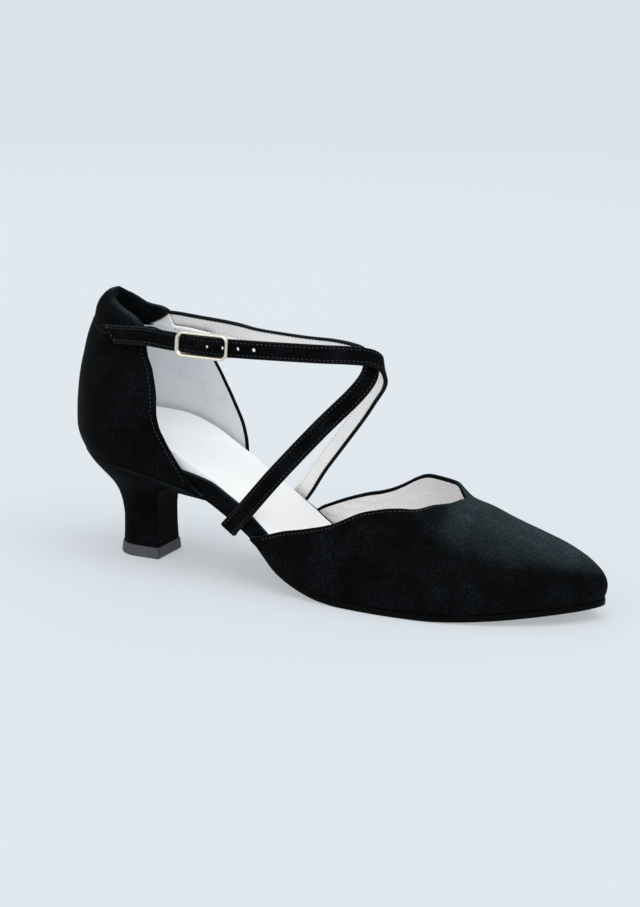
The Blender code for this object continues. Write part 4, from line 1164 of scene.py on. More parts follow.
@dataclass
class Sole:
    """Outsole, insole board and sock, each a layer over the last's plan."""

    last: Last
    finishes: Looks
    stations: int = 150
    across: int = 30
    first_cut: float = 0.018
    sock_thickness: float = 0.0008
    heel_pad: float = 0.0035
    heel_cup: float = 0.0065
    sock_bare: float = 0.0022
    bare_place: float = 0.50
    bare_reach: float = 0.11
    outsole_edge: float = 0.0005
    board_edge: float = 0.0008
    sock_edge: float = 0.0003

    def layer(self, loop: np.ndarray, low: Curve, high: Surface, edge: float) -> Skin:
        """Loft a layer from the heel to the toe.

        Args:
            loop: Its plan outline.
            low: Height of its lower face at a distance along the shoe.
            high: Height of its upper face at a distance along and a share across.
            edge: Rounding of its edges.

        Returns:
            The layer's skin.
        """
        plan = PlanSides(loop)
        rows = []
        for turn in np.linspace(self.first_cut, 1 - self.first_cut, self.stations):
            x = plan.back + (plan.tip - plan.back) * (1 - math.cos(math.pi * turn)) / 2
            outer, inner = float(plan.at(x, -1)), float(plan.at(x, 1))
            bottom, top = float(low(x)), float(high(x, 1))
            r = min(edge, (top - bottom) * 0.45, (inner - outer) * 0.3)
            middle, half = (outer + inner) / 2, (inner - outer) / 2 - r
            shares = np.linspace(-1, 1, self.across)
            row = [(x, middle + share * half, bottom) for share in shares]
            row += [(x, inner - r + a, bottom + r + b) for a, b in corner(r, -60, 0, 3)]
            row += [(x, inner - r + a, top - r + b) for a, b in corner(r, 0, 60, 3)]
            row += [(x, middle + share * half, float(high(x, share))) for share in shares[::-1]]
            row += [(x, outer + r + a, top - r + b) for a, b in corner(r, 120, 180, 3)]
            row += [(x, outer + r + a, bottom + r + b) for a, b in corner(r, 180, 240, 3)]
            rows.append(np.array(row))
        skin = Skin()
        skin.grid(rows, closed=True, capped=True)
        return skin

    def build(self) -> None:
        """Make the three layers."""
        last, board = self.last, self.last.board_loop
        pad, cup = last.bed_shares

        def sock_base(x: float) -> float:
            """Height of the sock's lower face."""
            return last.board_top(x) + last.gap

        def bed(x: float, share: float) -> float:
            """Height of the sock's upper face."""
            along = x / last.length
            rise = self.heel_pad * float(pad(along)) + self.heel_cup * float(cup(along)) * abs(share) ** 6
            return sock_base(x) + self.sock_thickness + rise

        bare = np.exp(-(((board[:, 0] / last.length - self.bare_place) / self.bare_reach) ** 4))
        sock = inset_loop(board, last.sock_inset + self.sock_bare * bare * (board[:, 1] > 0))

        def outsole_top(x: float, share: float) -> float:
            """Height of the outsole's upper face, level across the shoe."""
            return last.outsole_top(x)

        def board_top(x: float, share: float) -> float:
            """Height of the board's upper face, level across the shoe."""
            return last.board_top(x)

        for name, finish, loop, low, high, edge in (
            ("outsole", Finish.SOLE, last.sole_loop, last.underside, outsole_top, self.outsole_edge),
            ("insole_board", Finish.SUEDE, board, last.feather, board_top, self.board_edge),
            ("sock_lining", Finish.SOCK, sock, sock_base, bed, self.sock_edge),
        ):
            skin = self.layer(loop, low, high, edge)
            declare(skin.make(f"{name}_visual", [self.finishes[finish]]), finish, name)


@dataclass
class Heel:
    """Covered block heel on its rubber top piece."""

    last: Last
    finishes: Looks
    around: int = 120
    across: int = 31
    levels: int = 48
    top_piece: float = 0.005
    foot_length: float = 0.0208
    foot_width: float = 0.0206
    flare: float = 0.0008
    breast: float = 0.043
    seat_length: float = 0.072
    straight_share: float = 0.48
    squareness: float = 0.9
    breast_start: float = 0.35

    def plan(self, length: float, width: float) -> np.ndarray:
        """Foot outline from the breast's outer corner, round the back, to its inner corner."""
        turns = np.linspace(0, math.pi, 4 * self.around)
        straight = self.straight_share * length
        cosine = np.cos(turns)
        x = self.breast - straight - (length - straight) * np.sin(turns) ** self.squareness
        y = -width / 2 * np.sign(cosine) * np.abs(cosine) ** self.squareness
        first, final = (self.breast, -width / 2), (self.breast, width / 2)
        return respace(np.vstack([first, np.stack([x, y], axis=1), final]), self.around)

    def seat(self) -> np.ndarray:
        """Seat outline in the same order, under the sole's edge."""
        plan = PlanSides(self.last.sole_loop)
        turns = np.linspace(0, math.pi / 2, 2 * self.around)
        x = plan.back + (self.seat_length - plan.back) * (1 - np.cos(turns))
        outer = np.stack([x, plan.at(x, -1)], axis=1)
        inner = np.stack([x, plan.at(x, 1)], axis=1)
        return respace(np.vstack([outer[::-1], inner[1:]]), self.around)

    def close(self, outline: np.ndarray) -> np.ndarray:
        """Close an outline with a straight breast, and round its corners a little."""
        breast = np.linspace(outline[-1], outline[0], self.across + 2)[1:-1]
        loop = np.vstack([outline, breast])
        for _ in range(2):
            loop = 0.5 * loop + 0.25 * (np.roll(loop, 1, axis=0) + np.roll(loop, -1, axis=0))
        return loop

    def make_block(self) -> None:
        """Covered block, from the top piece up to the sole."""
        last = self.last
        foot = self.close(self.plan(self.foot_length, self.foot_width))
        seat = self.close(self.seat())
        back, front = curves_of(HEEL_FLARE)
        start = self.breast_start * self.seat_length
        forward = np.clip((seat[:, 0] - start) / (self.seat_length - start), 0, 1) ** 1.5
        bottom = self.top_piece + last.gap
        top = last.underside(seat[:, 0]) - last.gap
        rings = []
        for level in np.linspace(0, 1, self.levels) ** 0.9:
            flare = float(back(level)) * (1 - forward) + float(front(level)) * forward
            plan = foot + (seat - foot) * flare[:, None]
            rings.append(np.column_stack([plan, bottom + (top - bottom) * level]))
        skin = Skin()
        skin.grid(rings, closed=True)
        first = (self.levels - 1) * len(foot)
        rear = first + self.around - 1
        breast = tuple(range(rear + 1, first + len(foot)))
        skin.faces.append(tuple(range(len(foot)))[::-1])
        skin.faces.append((rear,) + breast + (first, first + 1, rear - 1))
        for k in range(1, self.around // 2 - 1):
            skin.faces.append((first + k, first + k + 1, rear - k - 1, rear - k))
        skin.slots += [0] * (len(skin.faces) - len(skin.slots))
        block = skin.make("heel_block_visual", [self.finishes[Finish.SUEDE]], sharp=50)
        press(block, lambda p: nap(p, 0.016, 0.0001))
        declare(block, Finish.SUEDE, "heel_block")

    def make_top_piece(self) -> None:
        """Rubber top piece that the heel stands on."""
        rings = []
        for level, wide in TOP_PIECE_SHAPE:
            flare = self.flare * wide
            plan = self.close(self.plan(self.foot_length + 2 * flare, self.foot_width + 2 * flare))
            plan[:, 0] += flare
            rings.append(np.column_stack([plan, np.full(len(plan), level * self.top_piece)]))
        skin = Skin()
        skin.grid(rings, closed=True, capped=True)
        rubber = skin.make("heel_top_piece_visual", [self.finishes[Finish.RUBBER]], sharp=50)
        declare(rubber, Finish.RUBBER, "heel_top_piece")

    def build(self) -> None:
        """Make the block and the top piece."""
        self.make_block()
        self.make_top_piece()


@dataclass
class Upper:
    """Vamp, quarter and padded collar."""

    last: Last
    finishes: Looks
    rows: int = 44
    collar_height: float = 0.013
    collar_pad: float = 0.0052
    collar_lean: float = 0.006
    collar_end: float = 0.58
    collar_sink: float = 0.0005
    rim_drop: float = 0.10
    collar_drop: float = 0.64
    collar_swell: tuple[float, float] = (0.0004, 0.0020)
    collar_dip: float = 0.0005
    pucker_places: tuple[float, ...] = (0.72, 0.86, 0.94)
    pucker: float = 0.00028
    pucker_width: float = 0.022
    dip_width: float = 0.18
    lean_round: float = 0.16
    band: float = 0.0078
    band_slope: float = 0.14
    band_start: float = 0.42
    girth_length: float = 0.095
    fold: float = 0.0013
    crease_width: float = 0.0030
    edge_round: float = 0.0006
    wing_clear: float = 0.006
    throat_clear: float = 0.004
    sole_clear: float = 0.003
    weld: float = 0.00002

    def vamp_ribs(self, side: int) -> list[np.ndarray]:
        """Ribs of one side, from the wing forward to the toe pole."""
        last = self.last
        shares = np.linspace(0, 1, self.rows)
        opened = np.linspace(last.wing(side), last.throat, 90, endpoint=False)
        stations = np.concatenate([opened, np.linspace(last.throat, last.toe_pole, 28)])
        ribs = []
        for x in stations:
            kept = last.topline(x, side)
            rib = last.straight_rib(x, side, shares * kept)
            if x < last.throat:
                rim = min(self.fold / max(distance_along(rib)[-1], 0.0001), 0.3)
                rest = shares[:-1] / shares[-2] * (1 - rim)
                rib = last.straight_rib(x, side, np.append(rest, 1.0) * kept)
            ribs.append(rib)
        return ribs

    def fan_ribs(self, count: int = 64) -> list[np.ndarray]:
        """Ribs round the toe, which meet at the toe pole."""
        last = self.last
        pole = last.toe_pole
        toe = last.loop[last.loop[:, 0] > pole]
        ends = [(pole, float(last.plan.at(pole, side))) for side in (-1, 1)]
        feet = respace(np.vstack([ends[0], toe, ends[1]]), count)
        shares = np.linspace(0, 1, self.rows)
        ribs = []
        for i in range(1, count - 1):
            along = unit(feet[i + 1] - feet[i - 1])
            foot = np.array([*feet[i], float(last.feather(feet[i, 0]))])
            ribs.append(last.rib(foot, np.array([along[1], -along[0]]), last.ridge(pole), shares))
        return ribs

    def crease(self, p: Vector) -> float:
        """Soft troughs where the vamp was drawn over the last and has begun to bend."""
        depth = nap(p, 0.022, 0.00022) + nap(p + Vector((0.3, 0, 0)), 0.008, 0.00006)
        for x, slant, low, high, deep in CREASES:
            trough = hump(p.x - slant * (p.z - low), x, self.crease_width)
            depth -= deep * trough * math.sin(math.pi * share_of(p.z, low, high))
        return depth

    def shell(
        self, name: str, rows: Sequence[np.ndarray], linings: Sequence[Finish], unevenness: Relief
    ) -> bpy.types.Object:
        """Make a walled piece, with its outer finish carried over its edge.

        Args:
            name: The node that it dresses.
            rows: Points of its outer face.
            linings: Finishes of its inner face, the most used one first.
            unevenness: How far its points are moved outward.

        Returns:
            The piece.
        """
        skin = Skin()
        skin.grid(rows)
        looks = [self.finishes[finish] for finish in (Finish.SUEDE, *linings)]
        piece = skin.make(f"{name}_visual", looks, weld=self.weld)
        press(piece, unevenness)
        thicken(piece, self.last.wall)
        fold_over(piece, self.fold * 0.6)
        return piece

    def make_vamp(self) -> None:
        """Closed toe part with its cut topline."""
        last = self.last
        ribs = self.vamp_ribs(-1) + self.fan_ribs() + self.vamp_ribs(1)[::-1]
        vamp = self.shell("vamp", ribs, [Finish.VAMP_LINING], self.crease)

        def on_topline(p: Vector) -> bool:
            """Whether an edge lies on the topline, away from the wings' points."""
            side, clear = side_of(p.y), self.throat_clear
            ahead = last.wing(side) + self.wing_clear < p.x < last.throat + clear
            return ahead and p.z > last.feather(p.x) + clear * last.topline(p.x, side)

        round_edges(vamp, on_topline, self.edge_round)
        declare(vamp, Finish.SUEDE, "vamp")

    def make_quarter(self) -> None:
        """Heel part, with its lining."""
        last = self.last
        side_turns = np.append(np.linspace(0, 1 - self.fold / self.girth_length, 75), 1.0)
        turns = np.concatenate([-side_turns[:0:-1], side_turns])
        start, end = self.collar_end - 0.02, self.collar_end + 0.04
        rows = []
        for height in np.linspace(0, 1, 64):
            row = []
            for turn in turns:
                beyond = share_of(last.quarter_front(turn, 1.0), start, end)
                low = height * (1 - self.rim_drop * beyond * beyond * (3 - 2 * beyond))
                row.append(last.quarter_point(last.quarter_front(turn, low), low)[0])
            rows.append(np.array(row))
        linings = [Finish.QUARTER_LINING, Finish.STRAP_LINING]
        quarter = self.shell(
            "quarter", rows, linings, lambda p: nap(p, 0.020, 0.00025) + nap(p, 0.007, 0.00006)
        )
        round_edges(quarter, lambda p: p.z > last.feather(p.x) + self.sole_clear, self.edge_round)
        self.line_band(quarter)
        declare(quarter, Finish.SUEDE, "quarter")

    def line_band(self, quarter: bpy.types.Object) -> None:
        """Give the strap's lining to the rim of the quarter's inner side, which it runs over."""
        last = self.last
        front = last.quarter_point(last.quarter_front(1.0, 1.0), 1.0)[0]
        start = last.quarter_point(self.band_start, 1.0)[0][0]
        for polygon in quarter.data.polygons:
            p = polygon.center + Vector(HEEL_CENTRE)
            bottom = front[2] - self.band + self.band_slope * (front[0] - p.x)
            inner_face = polygon.material_index == LINING_SLOT or polygon.normal.y < 0.40
            if inner_face and p.y >= 0 and p.x >= start and p.z >= bottom:
                polygon.material_index = THIRD_SLOT

    def collar_ring(self, turn: float, section: np.ndarray) -> list[np.ndarray]:
        """The collar's section at a turn from -1, its outer end, to 1, its inner end."""
        rim, outward = self.last.quarter_point(turn * self.collar_end, 1.0)
        reach = abs(turn)
        fade = max(1 - reach**16, 0.1) ** 0.35
        height = self.collar_height * (1 - self.collar_drop * reach**3)
        height += self.collar_swell[int(turn > 0)] * math.sin(math.pi * min(reach, 0.97)) ** 4
        height -= self.collar_dip * hump(reach, 0.0, self.dip_width)
        lean = self.collar_lean * (1 - 0.85 * (math.hypot(reach, self.lean_round) - 0.05))
        pucker = self.pucker * sum(hump(reach, at, self.pucker_width) for at in self.pucker_places)
        inward = np.array([*-outward, 0.0])
        ring = []
        for depth, up, tilt in section:
            swell = math.sin(math.pi * share_of(up)) ** 0.7
            deep = self.collar_pad * depth + lean * tilt
            sink = pucker * swell * (1 if depth < 0.5 else -1)
            rise = height * up * fade - pucker * up - self.collar_sink
            ring.append(rim + inward * (deep + sink) + np.array([0, 0, rise]))
        return ring

    def make_collar(self) -> None:
        """Padded roll on the quarter's rim."""
        section = smooth_path(COLLAR_SECTION, 4)
        rings = np.array([self.collar_ring(turn, section) for turn in np.linspace(-1, 1, 150)])
        for _ in range(12):
            rings[1:-1] = 0.5 * rings[1:-1] + 0.25 * (rings[2:] + rings[:-2])
        skin = Skin()
        skin.grid(list(rings), closed=True, capped=True)
        collar = skin.make("collar_visual", [self.finishes[Finish.SUEDE]], sharp=60)
        press(collar, lambda p: nap(p, 0.016, 0.00018))
        declare(collar, Finish.SUEDE, "collar")

    def build(self) -> None:
        """Make the upper's three pieces."""
        self.make_vamp()
        self.make_quarter()
        self.make_collar()


@dataclass
class Straps:
    """The two crossed straps, and the short tab that holds the buckle."""

    last: Last
    finishes: Looks
    width: float = 0.0079
    thickness: float = 0.002
    tab_thickness: float = 0.0012
    tail_slant: float = 0.0075
    tail_shift: float = 0.0018
    slant_fade: float = 0.016
    tab_step: float = 0.001
    bar: float = 0.0014
    hole: float = 0.0017
    hole_spacing: float = 0.0070
    rest_start: tuple[float, float] = (0.548, 1.0215)
    end_round: float = 0.0017
    holes: int = 5
    stitch_inset: float = 0.00135
    groove: float = 0.00013
    groove_width: float = 0.00022
    crown: float = 0.00012
    wave: float = 0.00010
    fold: float = 0.0004
    steps: int = 12

    def __post_init__(self) -> None:
        """Work out the two routes."""
        last = self.last
        lift = last.gap + self.thickness / 2
        rest = self.resting((*CROSS_REST, self.rest_start), lift)
        self.cross = smooth_path(last.route_rows(CROSS_ROUTE) + rest, self.steps)
        rest = self.resting(TAIL_REST, lift + last.gap + self.tab_thickness)
        self.buckle = smooth_path(rest + last.route_rows(BUCKLE_ROUTE), self.steps)
        self.buckle_index = self.steps * len(TAIL_REST)

    def resting(
        self, table: Sequence[tuple[float, float]], lift: float, step: float = 0.0
    ) -> list[np.ndarray]:
        """Route points beside the quarter's rim, lifted off it and a step higher."""
        last = self.last
        return [last.beside_rim(g, h * last.strap_height + step, lift) for g, h in table]

    @staticmethod
    def frames(route: np.ndarray) -> tuple[np.ndarray, np.ndarray, np.ndarray]:
        """Directions along a route, out of the strap's face, and across it."""
        along = unit(np.gradient(route[:, :3], axis=0))
        face = route[:, 3:6] - along * np.sum(route[:, 3:6] * along, axis=1, keepdims=True)
        face = unit(face)
        return along, face, np.cross(along, face)

    def section(
        self, width: float, thickness: float, folded: int, lined: bool = True
    ) -> tuple[list[tuple[float, float]], list[int]]:
        """Cross-section of a strap.

        Args:
            width: Its width.
            thickness: Its thickness.
            folded: The edge over which its outer face is folded, -1 or 1.
            lined: Whether its inner face has a lining.

        Returns:
            Points across and out of the face, and the material slot of each stretch.
        """
        face, edge = FACE_SLOT, THIRD_SLOT
        lining = LINING_SLOT if lined else FACE_SLOT
        left = edge if folded < 0 or not lined else lining
        right = edge if folded > 0 or not lined else lining
        half, top, bottom = width / 2, thickness / 2 - self.crown, -thickness / 2
        r = thickness * 0.36
        flat = half - r
        within = flat - self.fold
        points = []
        for a in np.linspace(flat, -flat, 41):
            groove = self.groove * hump(abs(a), half - self.stitch_inset, self.groove_width)
            points.append((a, top + self.crown * (1 - (a / flat) ** 4) - groove))
        slots = [face] * 40 + [edge]
        points += [(-flat - b, top - r + a) for a, b in corner(r, 12, 90, 6)] + [(-half, bottom + r)]
        points += [(-flat - b, bottom + r - a) for a, b in corner(r, 70, 12, 4)]
        slots += [edge] * 6 + [left] * 5
        points += [(a, bottom) for a in (-flat, *np.linspace(-within, within, 12), flat)]
        slots += [left] + [lining] * 11 + [right] * 2
        points += [(flat + b, bottom + r - a) for a, b in corner(r, 12, 70, 4)] + [(half, bottom + r)]
        points += [(flat + b, top - r + a) for a, b in corner(r, 90, 12, 6)]
        slots += [right] * 4 + [edge] * 7
        return points, slots

    def ribbon(
        self,
        name: str,
        route: np.ndarray,
        thickness: float,
        folded: int,
        slant: float = 0.0,
        lined: bool = True,
    ) -> bpy.types.Object:
        """Loft a strap along a route.

        Args:
            name: The piece's name.
            route: Points along it, with the way that its face looks.
            thickness: Its thickness.
            folded: The edge over which its outer face is folded, -1 or 1.
            slant: How far its first end is cut back over its width.
            lined: Whether its inner face has a lining.

        Returns:
            The strap.
        """
        along, face, across = self.frames(route)
        section, slots = self.section(self.width, thickness, folded, lined)
        reach = distance_along(route)
        rings = []
        for i, at in enumerate(route):
            fade = max(1 - reach[i] / self.slant_fade, 0.0)
            shear = slant / self.width * fade
            shift = self.tail_shift * fade if slant else 0.0
            wave = nap(Vector(at[:3]), 0.012, self.wave)
            free = reach[-1] - reach[i] if slant else min(reach[i], reach[-1] - reach[i])
            near = max(1 - free / self.end_round, 0.0)
            wide = 1 - self.end_round / (self.width / 2) * (1 - math.sqrt(1 - near * near))
            ring = [
                at[:3]
                + across[i] * a * wide
                + face[i] * (f + wave)
                + along[i] * (shear * (a + self.width / 2) - shift)
                for a, f in section
            ]
            rings.append(np.array(ring))
        skin = Skin()
        skin.grid(rings, slots, closed=True, capped=True)
        skin.slots[-2:] = [THIRD_SLOT, THIRD_SLOT]
        looks = (Finish.SUEDE, Finish.STRAP_LINING, Finish.EDGE)
        return skin.make(name, [self.finishes[look] for look in looks], sharp=55)

    def punch(self, piece: bpy.types.Object, places: Sequence[Sequence[np.ndarray]], depth: float) -> None:
        """Cut round holes through a strap.

        Args:
            piece: The strap.
            places: Each hole's centre, axis and a direction across it.
            depth: Half the cutters' length.
        """
        skin = Skin()
        for place, axis, side in places:
            across = unit(np.cross(axis, side))
            side = np.cross(across, axis)
            rim = np.array([place + side * a + across * b for a, b in circle(self.hole / 2, 24)])
            skin.grid([rim - axis * depth, rim + axis * depth], closed=True, capped=True)
        cutter = skin.make("hole_cutter", [self.finishes[Finish.SUEDE]])
        cut = piece.modifiers.new("holes", "BOOLEAN")
        cut.object = cutter
        cut.solver = "EXACT"
        bake(piece)
        bpy.data.objects.remove(cutter, do_unlink=True)
        shade(piece, 55)

    def tab_path(self) -> np.ndarray:
        """The tab's route, round the bar and back under itself."""
        last, route = self.last, self.buckle
        along, face, _ = self.frames(route)
        at = self.buckle_index
        depth = self.thickness / 2 + last.gap + self.tab_thickness / 2
        lift = last.gap + self.tab_thickness / 2
        rows = self.resting(TAB_REST, lift, self.tab_step)
        before = at - self.steps * 2 // 3
        rows.append(np.concatenate([route[before, :3] - face[before] * depth, face[before]]))
        radius = self.bar / 2 + last.gap + self.tab_thickness / 2
        centre = route[at, :3] - face[at] * (depth + radius)
        rows.append(np.concatenate([centre + face[at] * radius - along[at] * 2 * radius, face[at]]))
        bend = []
        for turn in np.radians(np.linspace(90, -90, 13)):
            way = face[at] * math.sin(turn) + along[at] * math.cos(turn)
            bend.append(np.concatenate([centre + way * radius, way]))
        for back in (radius, 2 * radius, 3.5 * radius, 5 * radius):
            bend.append(np.concatenate([centre - face[at] * radius - along[at] * back, -face[at]]))
        return np.vstack([smooth_path(rows, 6), bend])

    def build(self) -> None:
        """Make both straps and the tab."""
        cross = self.ribbon("cross_strap_visual", self.cross, self.thickness, -1)
        declare(cross, Finish.SUEDE, "cross_strap")

        route = self.buckle
        along, face, _ = self.frames(route)
        strap = self.ribbon("buckle_strap_visual", route, self.thickness, 1, slant=self.tail_slant)
        reach = distance_along(route)
        places = []
        for hole in range(self.holes):
            at = reach[self.buckle_index] + (hole - 1) * self.hole_spacing
            near = int(np.argmin(np.abs(reach - at)))
            places.append((read_path(route, reach, at)[:3], face[near], along[near]))
        self.punch(strap, places, self.thickness)
        declare(strap, Finish.SUEDE, "buckle_strap")

        tab = self.ribbon("buckle_tab_visual", self.tab_path(), self.tab_thickness, 1, lined=False)
        at = self.buckle_index
        depth = self.thickness / 2 + self.last.gap + self.tab_thickness / 2
        centre = route[at, :3] - face[at] * depth
        self.punch(tab, [(centre, face[at], along[at])], self.tab_thickness)
        declare(tab, Finish.SUEDE, "buckle_tab")


@dataclass
class Buckle:
    """Rounded wire frame with its bar and stud."""

    straps: Straps
    finishes: Looks
    length: float = 0.025
    height: float = 0.0112
    shift: float = -0.0003
    wire: float = 0.0019
    corner: float = 0.0036
    bar_offset: float = 0.0018
    stud: float = 0.0009
    stud_sink: float = 0.0012

    def __post_init__(self) -> None:
        """Find the buckle's place on its strap, and the height of its wire and its bar."""
        straps = self.straps
        at = straps.buckle_index
        along, face, across = (ways[at] for ways in straps.frames(straps.buckle))
        self.origin = straps.buckle[at, :3]
        self.basis = np.array([along, across, face])
        self.top = straps.thickness / 2 + straps.last.gap
        self.lift = self.top + self.wire / 2
        self.depth = self.top + straps.last.gap + straps.tab_thickness + straps.bar / 2

    def place(self, x: float, y: float, z: float) -> np.ndarray:
        """A point by its distances along, across and out of the strap."""
        return self.origin + np.array([x, y, z]) @ self.basis

    def add_frame(self, skin: Skin) -> None:
        """Wire frame, which lies on the strap."""
        half = self.wire / 2
        radius = self.corner - half
        outline = []
        for side_x, side_y, first in ((1, 1, 0), (-1, 1, 90), (-1, -1, 180), (1, -1, 270)):
            middle_x = side_x * (self.length - self.wire - 2 * radius) / 2 - self.bar_offset
            middle_y = side_y * (self.height - self.wire - 2 * radius) / 2 + self.shift
            outline += [(middle_x + a, middle_y + b) for a, b in corner(radius, first, first + 90, 12)]
        outline = np.array(outline)
        ways = unit(np.roll(outline, -1, axis=0) - np.roll(outline, 1, axis=0))
        rings = []
        section = smooth_path(FRAME_SECTION + FRAME_SECTION[:1], 3)[:-1] * half
        for (x, y), way in zip(outline, ways):
            ring = [
                self.place(x + way[1] * out, y - way[0] * out, self.lift + up) for out, up in section
            ]
            rings.append(np.array(ring))
        skin.grid(rings + rings[:1], closed=True)

    def add_bar(self, skin: Skin) -> None:
        """Bar that dips under the strap, inside the tab's bend."""
        high, lift, depth = (self.height - self.wire) / 2, self.lift, self.depth
        path = [(high, lift), (high, lift * 0.4), (high, -0.2 * depth), (high * 0.97, -0.7 * depth)]
        path += [(high * 0.9, -depth), (0.0, -depth)]
        path += [(-y, z) for y, z in path[-2::-1]]
        path = smooth_path([(y + self.shift, z) for y, z in path], 5)
        ways = unit(np.gradient(path, axis=0))
        rings = []
        for (y, z), way in zip(path, ways):
            spots = [(side, 0.9 * out) for side, out in circle(self.straps.bar / 2, 16)]
            ring = [self.place(side, y + way[1] * out, z - way[0] * out) for side, out in spots]
            rings.append(np.array(ring))
        skin.grid(rings, closed=True, capped=True)

    def add_stud(self, skin: Skin) -> None:
        """Stud that stands on the bar, in the strap's hole."""
        head = self.top - self.stud_sink
        levels = [(-self.depth, 1.0)] + [(head + rise, share) for rise, share in STUD_HEAD]
        rings = []
        for z, share in levels:
            rings.append(np.array([self.place(a, b, z) for a, b in circle(self.stud / 2 * share, 18)]))
        skin.grid(rings, closed=True, capped=True)

    def build(self) -> None:
        """Make the frame, its bar and its stud as one piece."""
        skin = Skin()
        self.add_frame(skin)
        self.add_bar(skin)
        self.add_stud(skin)
        metal = [self.finishes[Finish.METAL]]
        frame_piece = skin.make("buckle_frame_visual", metal, weld=0.000001, sharp=60)
        declare(frame_piece, Finish.METAL, "buckle_frame")


@dataclass
class Trace:
    """A line on the surface of a piece, along which stitches are sewn."""

    places: list[np.ndarray] = field(default_factory=list)
    looks: list[np.ndarray] = field(default_factory=list)
    breaks: list[int] = field(default_factory=list)

    def lay(self, piece: bpy.types.Object, points: np.ndarray, ways: np.ndarray | None = None) -> None:
        """Lay a line on a piece.

        Args:
            piece: The piece.
            points: Points near its surface, on the last.
            ways: Directions out of the surface, or nothing to read them from the piece.
        """
        tree = BVHTree.FromObject(piece, bpy.context.evaluated_depsgraph_get())
        for i, point in enumerate(points):
            spot, normal, _, _ = tree.find_nearest(Vector(point - HEEL_CENTRE))
            look = unit(ways[i]) if ways is not None else np.array(normal)
            self.places.append(np.array(spot) + look * 0.00002)
            self.looks.append(look)
        self.breaks.append(len(self.places))


@dataclass(frozen=True)
class Stitching:
    """Stitches of one size, set along traces by Geometry Nodes."""

    length: float = 0.0011
    width: float = 0.00034
    height: float = 0.00026
    spacing: float = 0.0018
    seed: int = 7

    def group(self) -> bpy.types.NodeTree:
        """Make the node group, with named inputs."""
        tree = bpy.data.node_groups.new("stitch rows", "GeometryNodeTree")
        kinds = {"Geometry": "Geometry", "Seed": "Int", "Material": "Material"}
        for name in ("Geometry", "Spacing", "Length", "Width", "Height", "Seed", "Material"):
            kind = f"NodeSocket{kinds.get(name, 'Float')}"
            tree.interface.new_socket(name, in_out="INPUT", socket_type=kind)
        tree.interface.new_socket("Geometry", in_out="OUTPUT", socket_type="NodeSocketGeometry")

        def node(kind: str, output: str = "", inputs: dict | None = None, **settings: str) -> NodeEnd:
            """Add a node with its inputs' values or links, and return one output or all of them."""
            made = tree.nodes.new(kind)
            for key, value in settings.items():
                setattr(made, key, value)
            for key, value in (inputs or {}).items():
                if isinstance(value, bpy.types.NodeSocket):
                    tree.links.new(value, made.inputs[key])
                else:
                    made.inputs[key].default_value = value
            return made.outputs[output] if output else made.outputs

        given = node("NodeGroupInput")
        curve = node("GeometryNodeMeshToCurve", "Curve", {"Mesh": given["Geometry"]})
        inputs = {"Curve": curve, "Length": given["Spacing"]}
        rows = node("GeometryNodeResampleCurve", "Curve", inputs, mode="LENGTH")

        inputs = {"Vector": node("GeometryNodeInputTangent", "Tangent")}
        turn = node("FunctionNodeAlignRotationToVector", "Rotation", inputs, axis="X")
        inputs = {"Name": "surface_normal"}
        look = node("GeometryNodeInputNamedAttribute", "Attribute", inputs, data_type="FLOAT_VECTOR")
        inputs = {"Rotation": turn, "Vector": look}
        turn = node("FunctionNodeAlignRotationToVector", "Rotation", inputs, axis="Z", pivot_axis="X")

        inputs = {"X": given["Length"], "Y": given["Width"], "Z": given["Height"]}
        size = node("ShaderNodeCombineXYZ", "Vector", inputs)
        inputs = {"Min": (0.86, 0.90, 0.85), "Max": (1.05, 1.08, 1.10), "Seed": given["Seed"]}
        vary = node("FunctionNodeRandomValue", "Value", inputs, data_type="FLOAT_VECTOR")
        scale = node("ShaderNodeVectorMath", "Vector", {0: size, 1: vary}, operation="MULTIPLY")

        inputs = {"Segments": 10, "Rings": 6, "Radius": 0.5}
        bead = node("GeometryNodeMeshUVSphere", "Mesh", inputs)
        inputs = {"Points": rows, "Instance": bead, "Rotation": turn, "Scale": scale}
        placed = node("GeometryNodeInstanceOnPoints", "Instances", inputs)
        real = node("GeometryNodeRealizeInstances", "Geometry", {"Geometry": placed})
        smooth = node("GeometryNodeSetShadeSmooth", "Geometry", {"Geometry": real})
        inputs = {"Geometry": smooth, "Material": given["Material"]}
        coloured = node("GeometryNodeSetMaterial", "Geometry", inputs)
        node("NodeGroupOutput", inputs={0: coloured})
        return tree

    def sew(self, name: str, trace: Trace, thread: bpy.types.Material) -> bpy.types.Object:
        """Set stitches along a trace.

        Args:
            name: The new piece's name.
            trace: The lines to sew.
            thread: The stitches' material.

        Returns:
            The piece, with its stitches as plain mesh.
        """
        starts = [0] + trace.breaks[:-1]
        edges = [(i, i + 1) for a, b in zip(starts, trace.breaks) for i in range(a, b - 1)]
        mesh = bpy.data.meshes.new(name)
        mesh.from_pydata([tuple(p) for p in trace.places], edges, [])
        looks = mesh.attributes.new("surface_normal", "FLOAT_VECTOR", "POINT")
        looks.data.foreach_set("vector", np.array(trace.looks).ravel())
        piece = add_object(name, mesh)
        rows = piece.modifiers.new("stitches", "NODES")
        rows.node_group = self.group()
        values = {
            "Spacing": self.spacing,
            "Length": self.length,
            "Width": self.width,
            "Height": self.height,
            "Seed": self.seed,
            "Material": thread,
        }
        for item in rows.node_group.interface.items_tree:
            if item.in_out == "INPUT" and item.name in values:
                rows[item.identifier] = values[item.name]
        return bake(piece)


